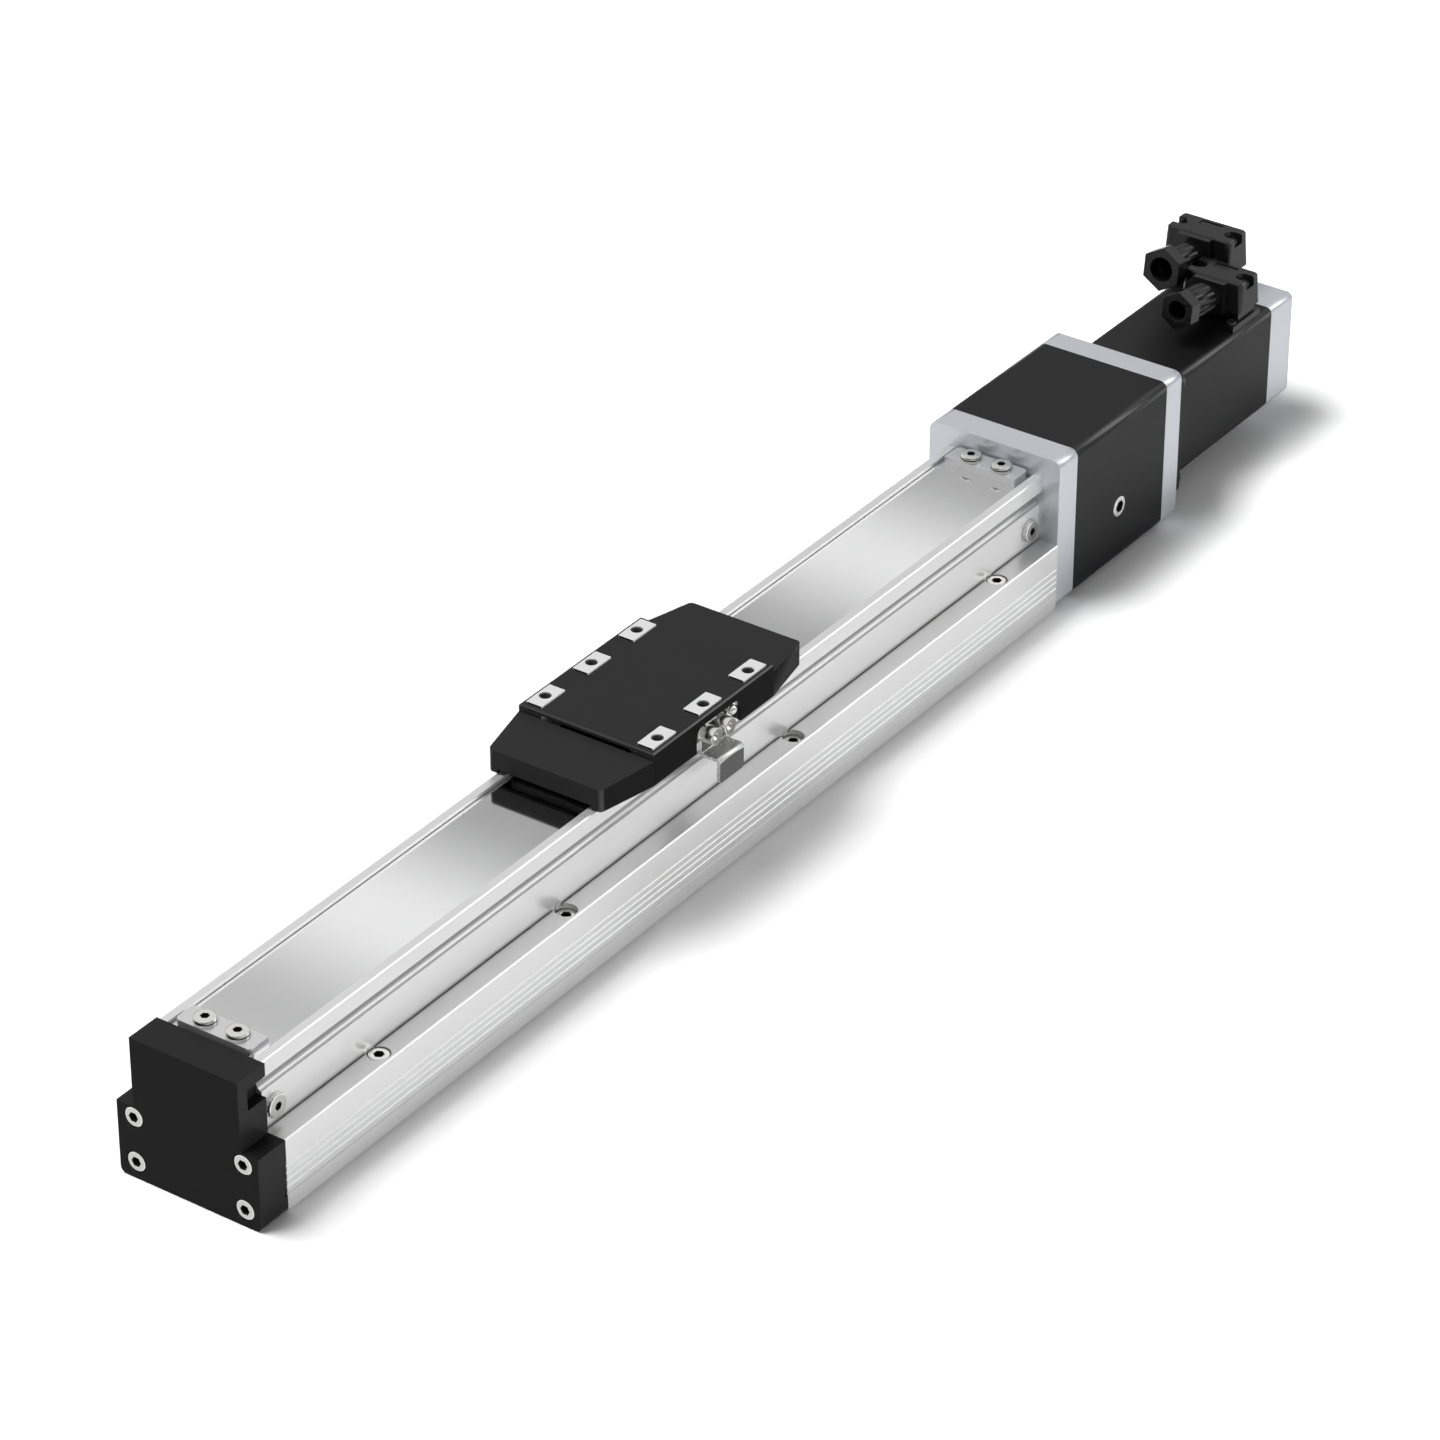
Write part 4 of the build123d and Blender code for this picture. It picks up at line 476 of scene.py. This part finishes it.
coverScrew = {"node": "encoder_cover_screws", "head": 5.6 * mm, "height": 2.8 * mm, "shank": 3.0 * mm,
              "chamfer": 0.35 * mm, "key": 2.5 * mm, "depth": 1.6 * mm}
addScrews("encoderCoverScrews", coverScrew, (1, 0, 0))

flangeScrew = {"node": "motor_flange_screws", "head": 7.0 * mm, "height": 2.8 * mm, "shank": 4.0 * mm,
               "chamfer": 0.4 * mm, "key": 2.5 * mm, "depth": 1.6 * mm}
addScrews("flangeScrews", flangeScrew, (1, 0, 0), slot="screw_black")

connectorScrew = {"node": "connector_screws", "head": 4.4 * mm, "height": 1.6 * mm, "shank": 2.5 * mm,
                  "chamfer": 0.35 * mm, "key": 1.5 * mm, "depth": 0.9 * mm,
                  "small": {"head": 3.4 * mm, "height": 1.4 * mm, "shank": 2.0 * mm, "key": 1.3 * mm}}
addScrews("connectorScrews", connectorScrew, (0, 0, 1), slot="screw_black")

tieScrew = {"node": "tie_screws", "head": 7.0 * mm, "height": 4.0 * mm, "shank": 4.0 * mm,
            "chamfer": 0.45 * mm, "key": 3.0 * mm, "depth": 2.2 * mm}
addScrews("tieScrews", tieScrew, (1, 0, 0))

tableScrew = {"node": "table_screws", "head": 7.0 * mm, "height": 2.2 * mm, "shank": 4.0 * mm,
              "chamfer": 0.4 * mm, "key": 2.5 * mm, "depth": 1.2 * mm}
addScrews("tableScrews", tableScrew, (0, 0, 1), "carriage")
print("screws made")

gland = {"ribs": 12.0 * mm, "ribDepth": 0.26 * mm, "ribCount": 14, "sides": 112, "slope": 0.7 * mm,
         "round": 0.1 * mm, "air": 0.02 * mm}
powerGland = {**gland, "node": "power_gland_sleeve", "mount": "power_cable_entry", "width": 11.6 * mm,
              "neck": 10.2 * mm, "nut": 5.8 * mm, "root": 9.4 * mm}
encoderGland = {**gland, "node": "encoder_gland_sleeve", "mount": "encoder_cable_entry", "width": 12.0 * mm,
                "neck": 9.8 * mm, "nut": 6.0 * mm, "root": 9.0 * mm}


def glandSleeve(spec):
    # a turned sleeve from its root to the nut: a neck, the ribs, a plain rim, then back down the bore
    mount = mountOf(spec["mount"])
    bore, half = mount["dims"]["r_mm"] * mm, mount["dims"]["length_mm"] / 2 * mm
    wide, neck, end = spec["width"] / 2 - spec["ribDepth"], spec["neck"] / 2, half - spec["nut"] - spec["air"]
    start, slope, small = end - spec["ribs"], spec["slope"], spec["round"]
    rows = [(neck, start - spec["root"]), (neck, start - slope), (wide, start, 0, 0),
            (wide, start + slope / 2, 0, spec["ribDepth"]), (wide, end - 1.5 * slope, 0, spec["ribDepth"]),
            (wide, end - slope), (wide, end - small), (wide - small, end), (bore + small, end),
            (bore, end - small), (bore, small - half)]
    return turned(rows, mount["pos_m"], mount["axis"], spec["sides"], spec["ribCount"])


sleeves = gathered([glandSleeve(powerGland), glandSleeve(encoderGland)])
addPiece("glandSleeves", *sleeves, "base", "black_plastic", [powerGland["node"], encoderGland["node"]],
         finish="gland_black")
print("gland sleeves made")

padThread = {"holeDepths": {"slider_pads": 8.0 * mm, "slider_pads_middle": 4.8 * mm}, "sides": 40,
             "pitch": 0.8 * mm, "depth": 0.35 * mm, "lip": 0.35 * mm, "floor": 0.3 * mm, "air": 0.04 * mm,
             "wall": 0.02 * mm, "step": 0.1 * mm, "sharp": 60}


def threadCup(spec, place, radius, depth):
    # a cup in a tapped hole: its inner wall is a helix, the radius less the depth times half of one plus the
    # cosine of the height over the pitch less the turn
    turn = np.arange(spec["sides"]) / spec["sides"]
    height = -np.arange(spec["lip"], depth - spec["floor"], spec["step"])
    wave = 0.5 + 0.5 * np.cos(2 * math.pi * (height[:, None] / spec["pitch"] - turn))
    inner = radius - spec["air"] - spec["wall"] - spec["depth"] * wave
    outer = np.full((2, spec["sides"]), radius - spec["air"])
    allHeights = np.concatenate([[spec["wall"] - depth, height[0]], height])
    return rings(np.concatenate([outer, inner]), allHeights, place, (0, 0, 1))


cups = []
for mountName, depth in padThread["holeDepths"].items():
    mount = mountOf(mountName)
    dims, (x, y, z) = mount["dims"], mount["pos_m"]
    halfX, halfY = dims.get("spacing_x_mm", 0) / 2 * mm, dims["spacing_y_mm"] / 2 * mm
    for dx in sorted({-halfX, halfX}):
        for dy in (-halfY, halfY):
            cups.append(threadCup(padThread, (x + dx, y + dy, z), dims["hole_r_mm"] * mm, depth))
# the threads are painted near-black, painted shade for the inside of the holes
addPiece("padThreads", *gathered(cups), "carriage", "body_aluminium", sharp=padThread["sharp"],
         finish="thread_dark")

ballScrew = {"node": "ball_screw", "lead": 10.0 * mm, "groove": 1.4 * mm, "depth": 0.75 * mm,
             "step": 0.5 * mm, "thin": 5.5 * mm, "sides": 36, "sharp": 40}


def ballScrewShape(spec):
    # the thick step gets a round helical groove: its radius less how far the groove's circle reaches in
    mesh = frame["nodes"][spec["node"]].data
    points = np.empty(len(mesh.vertices) * 3)
    mesh.vertices.foreach_get("co", points)
    points = points.reshape(-1, 3)
    middle = (points.min(0) + points.max(0)) / 2
    reach = np.round(np.hypot(points[:, 1] - middle[1], points[:, 2] - middle[2]), 5)
    along = np.round(points[:, 0], 5)
    levels = [(x, set(reach[along == x])) for x in np.unique(along)]
    turn = np.arange(spec["sides"]) / spec["sides"]
    radius, height = [], []
    for (start, first), (stop, last) in zip(levels, levels[1:]):
        wide = max((first & last) - {0.0})          # the radius that both ends of this step share
        rows = np.array([start, stop]) if wide < spec["thin"] else np.arange(start, stop, spec["step"])
        cut = np.zeros((len(rows), spec["sides"]))
        if len(rows) > 2:
            apart = ((rows[:, None] / spec["lead"] - turn) % 1 - 0.5) * spec["lead"]
            chord = np.sqrt(np.maximum(spec["groove"] ** 2 - apart ** 2, 0))
            cut = np.maximum(chord - spec["groove"] + spec["depth"], 0)
        radius.append(wide - cut)
        height.append(rows)
    return rings(np.concatenate(radius), np.concatenate(height), (0, middle[1], middle[2]), (1, 0, 0))


addPiece("ballScrew", *ballScrewShape(ballScrew), "screw", "bearing_steel", [ballScrew["node"]],
         ballScrew["sharp"])
print("threads made")

# lift is the rise over the slider's table, run the ramp's length along X, and clamp the strip clamp's length
strip = {"lift": 8.0 * mm, "bend": 4.7 * mm, "run": 14.5 * mm, "arcSteps": 7, "clamp": 8.6 * mm, "sharp": 60}


def humpPath(rollerX, middleX, low):
    # flat, a bend round the roller, a straight ramp and a bend onto the flat top, then the same mirrored
    slope = math.atan2(strip["lift"], strip["run"])
    bend = strip["bend"]
    turnAngle = np.linspace(0, slope, strip["arcSteps"])
    half = rollerX - middleX
    lower = np.stack([half - bend * np.sin(turnAngle), low + bend * (1 - np.cos(turnAngle))], 1)
    reach = bend * math.tan(slope / 2)
    topCorner = half - reach - strip["run"]
    upper = np.stack([topCorner - reach + bend * np.sin(turnAngle[::-1]),
                      low + strip["lift"] - bend * (1 - np.cos(turnAngle[::-1]))], 1)
    side = np.concatenate([lower, upper])
    other = side[::-1] * (-1, 1)
    return np.concatenate([side, other])[::-1] + (middleX, 0)


def ribbon(path, halfWidth, thickness):
    # a strip along a path in X and Z: each row has four corners, offset along the path's normal
    step = np.gradient(path, axis=0)
    step /= np.linalg.norm(step, axis=1)[:, None]
    normal = np.stack([-step[:, 1], step[:, 0]], 1) * thickness / 2
    rows = []
    for y, side in ((-halfWidth, -1), (halfWidth, -1), (halfWidth, 1), (-halfWidth, 1)):
        corner = path + normal * side
        rows.append(np.stack([corner[:, 0], np.full(len(path), y), corner[:, 1]], 1))
    points = np.stack(rows, 1).reshape(-1, 3)
    row, here, there = 4 * np.arange(len(path) - 1)[:, None], np.arange(4), (np.arange(4) + 1) % 4
    sides = np.stack([row + 4 + here, row + 4 + there, row + there, row + here], -1).reshape(-1, 4)
    last = len(points)
    return points, sides.tolist() + [[0, 1, 2, 3], [last - 1, last - 2, last - 3, last - 4]]


low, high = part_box("cover_strip")
thickness = high.z - low.z - strip["lift"]
flat = low.z + thickness / 2
rollers = ("free_strip_roller", "motor_strip_roller")
freeRoller, motorRoller = (sum(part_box(node), Vector()).x / 2 for node in rollers)
hump = humpPath(motorRoller, (freeRoller + motorRoller) / 2, flat)
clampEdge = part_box("strip_clamps")[1].x - strip["clamp"]
stripPaths = {"stripOverSlider": hump,
              "stripFreeSide": np.array([(low.x, flat), (-clampEdge, flat), hump[0]]),
              "stripMotorSide": np.array([hump[-1], (clampEdge, flat), (high.x, flat)])}
stretched = {"stripFreeSide": (-clampEdge, hump[0][0]), "stripMotorSide": (clampEdge, hump[-1][0])}
for name, path in stripPaths.items():
    points, faces = ribbon(path, high.y, thickness)
    body = None if name in stretched else "carriage"
    piece = addPiece(name, points, faces, body, "strip_steel", ["cover_strip"], strip["sharp"])
    if name in stretched:                           # from the clamp's edge to the moving slider
        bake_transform(piece)
print("strip made")


def addSheet(name, corners, material):              # one flat sheet of the stage
    mesh = bpy.data.meshes.new(name)
    mesh.from_pydata(corners, [], [[0, 1, 2, 3]])
    mesh.materials.append(material)
    sheet = bpy.data.objects.new(name, mesh)
    bpy.context.scene.collection.objects.link(sheet)
    return sheet


# own is the floor's colour, and seen is the lighter one for the camera and in the metal
# painted light: towards the motor the camera sees it lighter by up to the gain, which lifts the cast shadow
# there, growing between the places from and to
floorPlan = {"half": 6.0, "drop": 0.2 * mm, "roughness": 0.9, "own": 0.86, "seen": 1.15,
             "from": 0.10, "to": 0.36, "gain": 0.4}


def floorMaterial(plan):
    material, tree, shader = newMaterial("floor_white")
    viewed = addNode(tree, "ShaderNodeLightPath", {}, {}, "Is Camera Ray")
    direct = viewed + addNode(tree, "ShaderNodeLightPath", {}, {}, "Is Glossy Ray")
    along = axesOf(tree, objectPlace(tree))["X"]
    reach = {"Value": along, "From Min": plan["from"], "From Max": plan["to"], "To Max": plan["gain"]}
    # painted light: lighter towards the motor for the camera, lifting the cast shadow there
    towards = addNode(tree, "ShaderNodeMapRange", {"interpolation_type": "SMOOTHSTEP"}, reach)
    white = direct * (plan["seen"] - plan["own"]) + viewed * towards + plan["own"]
    tree.links.new(grey(tree, white).socket, shader.inputs["Base Color"])
    shader.inputs["Roughness"].default_value = plan["roughness"]
    shader.inputs["Specular IOR Level"].default_value = 0.0
    return material


half, depth = floorPlan["half"], -floorPlan["drop"]
addSheet("floor", [(-half, -half, depth), (half, -half, depth), (half, half, depth), (-half, half, depth)],
         floorMaterial(floorPlan))

ceiling = {"height": 1.0, "x": (-1.7, 2.6), "y": (-0.4, 2.2), "peak": 0.978, "period": 0.263,
           "mean": 0.74, "swing": 0.35, "rise": 1.4, "most": 0.2}


def ceilingMaterial(plan):
    # bands of light that the strip mirrors: a mean plus a cosine of X, and a rise on the peak's near side
    material, tree, shader = newMaterial("ceiling_light")
    tree.nodes.remove(shader)
    across = axesOf(tree, objectPlace(tree))["X"]
    phase = (across - plan["peak"]) * (2 * math.pi / plan["period"])
    before = (plan["peak"] - across) * plan["rise"]
    before = maths("MINIMUM", maths("MAXIMUM", before, 0.0), plan["most"])
    light = maths("COSINE", phase) * plan["swing"] + before + plan["mean"]
    glow = addNode(tree, "ShaderNodeEmission", {}, {"Color": grey(tree, light), "Strength": 1.0})
    tree.links.new(glow.socket, tree.nodes["Material Output"].inputs["Surface"])
    return material


(x0, x1), (y0, y1), top = ceiling["x"], ceiling["y"], ceiling["height"]
card = addSheet("ceiling", [(x0, y0, top), (x0, y1, top), (x1, y1, top), (x1, y0, top)],
                ceilingMaterial(ceiling))
card.visible_camera = card.visible_shadow = card.visible_diffuse = False

room = {"even": 0.13, "seen": 1.0, "low": 0.14, "high": 0.66, "from": 0.10, "to": 0.50}
world = bpy.data.worlds.new("studio")
bpy.context.scene.world = world
world.use_nodes = True
tree = world.node_tree
viewed = addNode(tree, "ShaderNodeLightPath", {}, {}, "Is Camera Ray")
mirrored = addNode(tree, "ShaderNodeLightPath", {}, {}, "Is Glossy Ray")
upward = axesOf(tree, addNode(tree, "ShaderNodeTexCoord", {}, {}, "Generated"))["Z"]
band = addNode(tree, "ShaderNodeMapRange", {}, {
    "Value": upward, "From Min": room["from"], "From Max": room["to"], "To Min": room["low"],
    "To Max": room["high"]})
tone = viewed * (room["seen"] - room["even"]) + mirrored * (band - room["even"]) + room["even"]
tree.links.new(grey(tree, tone).socket, tree.nodes["Background"].inputs["Color"])

lamps = {
    "keyLamp": {"size": (1.9, 1.5), "watts": 136.0, "place": (-1.0, 1.2, 3.6), "target": (0.0, 0.0, 0.0),
                "glossy": False, "diffuse": True},
    "sideLamp": {"size": (2.2, 0.3), "watts": 30.0, "place": (0.2, -2.4, 0.20), "target": (0.0, 0.0, 0.05),
                 "glossy": False, "diffuse": True},
    "rimLamp": {"size": (1.0, 1.6), "watts": 11.0, "place": (1.6, -1.25, 1.15), "target": (0.1, 0.0, 0.03),
                "glossy": True, "diffuse": False},
    "endLamp": {"size": (0.9, 0.7), "watts": 1.5, "place": (-2.2, 0.3, 0.7), "target": (-0.2, 0.0, 0.03),
                "glossy": False, "diffuse": True},
}


def addLamp(name, plan):
    lamp = bpy.data.lights.new(name, "AREA")
    lamp.shape, lamp.energy = "RECTANGLE", plan["watts"]
    lamp.size, lamp.size_y = plan["size"]
    lampObject = bpy.data.objects.new(name, lamp)
    bpy.context.scene.collection.objects.link(lampObject)
    lampObject.location = plan["place"]
    ahead = Vector(plan["target"]) - Vector(plan["place"])
    lampObject.rotation_euler = ahead.to_track_quat("-Z", "Y").to_euler()
    lampObject.visible_glossy, lampObject.visible_diffuse = plan["glossy"], plan["diffuse"]


for name, plan in lamps.items():
    addLamp(name, plan)
print("stage and lights made")

shot = {"place": (-1.24174, -0.90188, 1.00702), "yaw": 0.6103, "pitch": 0.5558, "roll": 0.0021,
        "lens": 141.04, "sensor": 36.0, "near": 0.05, "far": 50.0}
yaw, pitch, roll = shot["yaw"], shot["pitch"], shot["roll"]
ahead = Vector((math.cos(pitch) * math.cos(yaw), math.cos(pitch) * math.sin(yaw), -math.sin(pitch)))
right = Vector((math.sin(yaw), -math.cos(yaw), 0))
up = right.cross(ahead)
right, up = right * math.cos(roll) + up * math.sin(roll), up * math.cos(roll) - right * math.sin(roll)
cameraData = bpy.data.cameras.new("camera")
cameraData.lens, cameraData.sensor_width = shot["lens"], shot["sensor"]
cameraData.clip_start, cameraData.clip_end = shot["near"], shot["far"]
camera = bpy.data.objects.new("camera", cameraData)
bpy.context.scene.collection.objects.link(camera)
camera.matrix_world = Matrix.Translation(shot["place"]) @ Matrix((right, up, -ahead)).transposed().to_4x4()
bpy.context.scene.camera = camera
bpy.context.scene.view_settings.view_transform = "Standard"

bpy.context.view_layer.update()
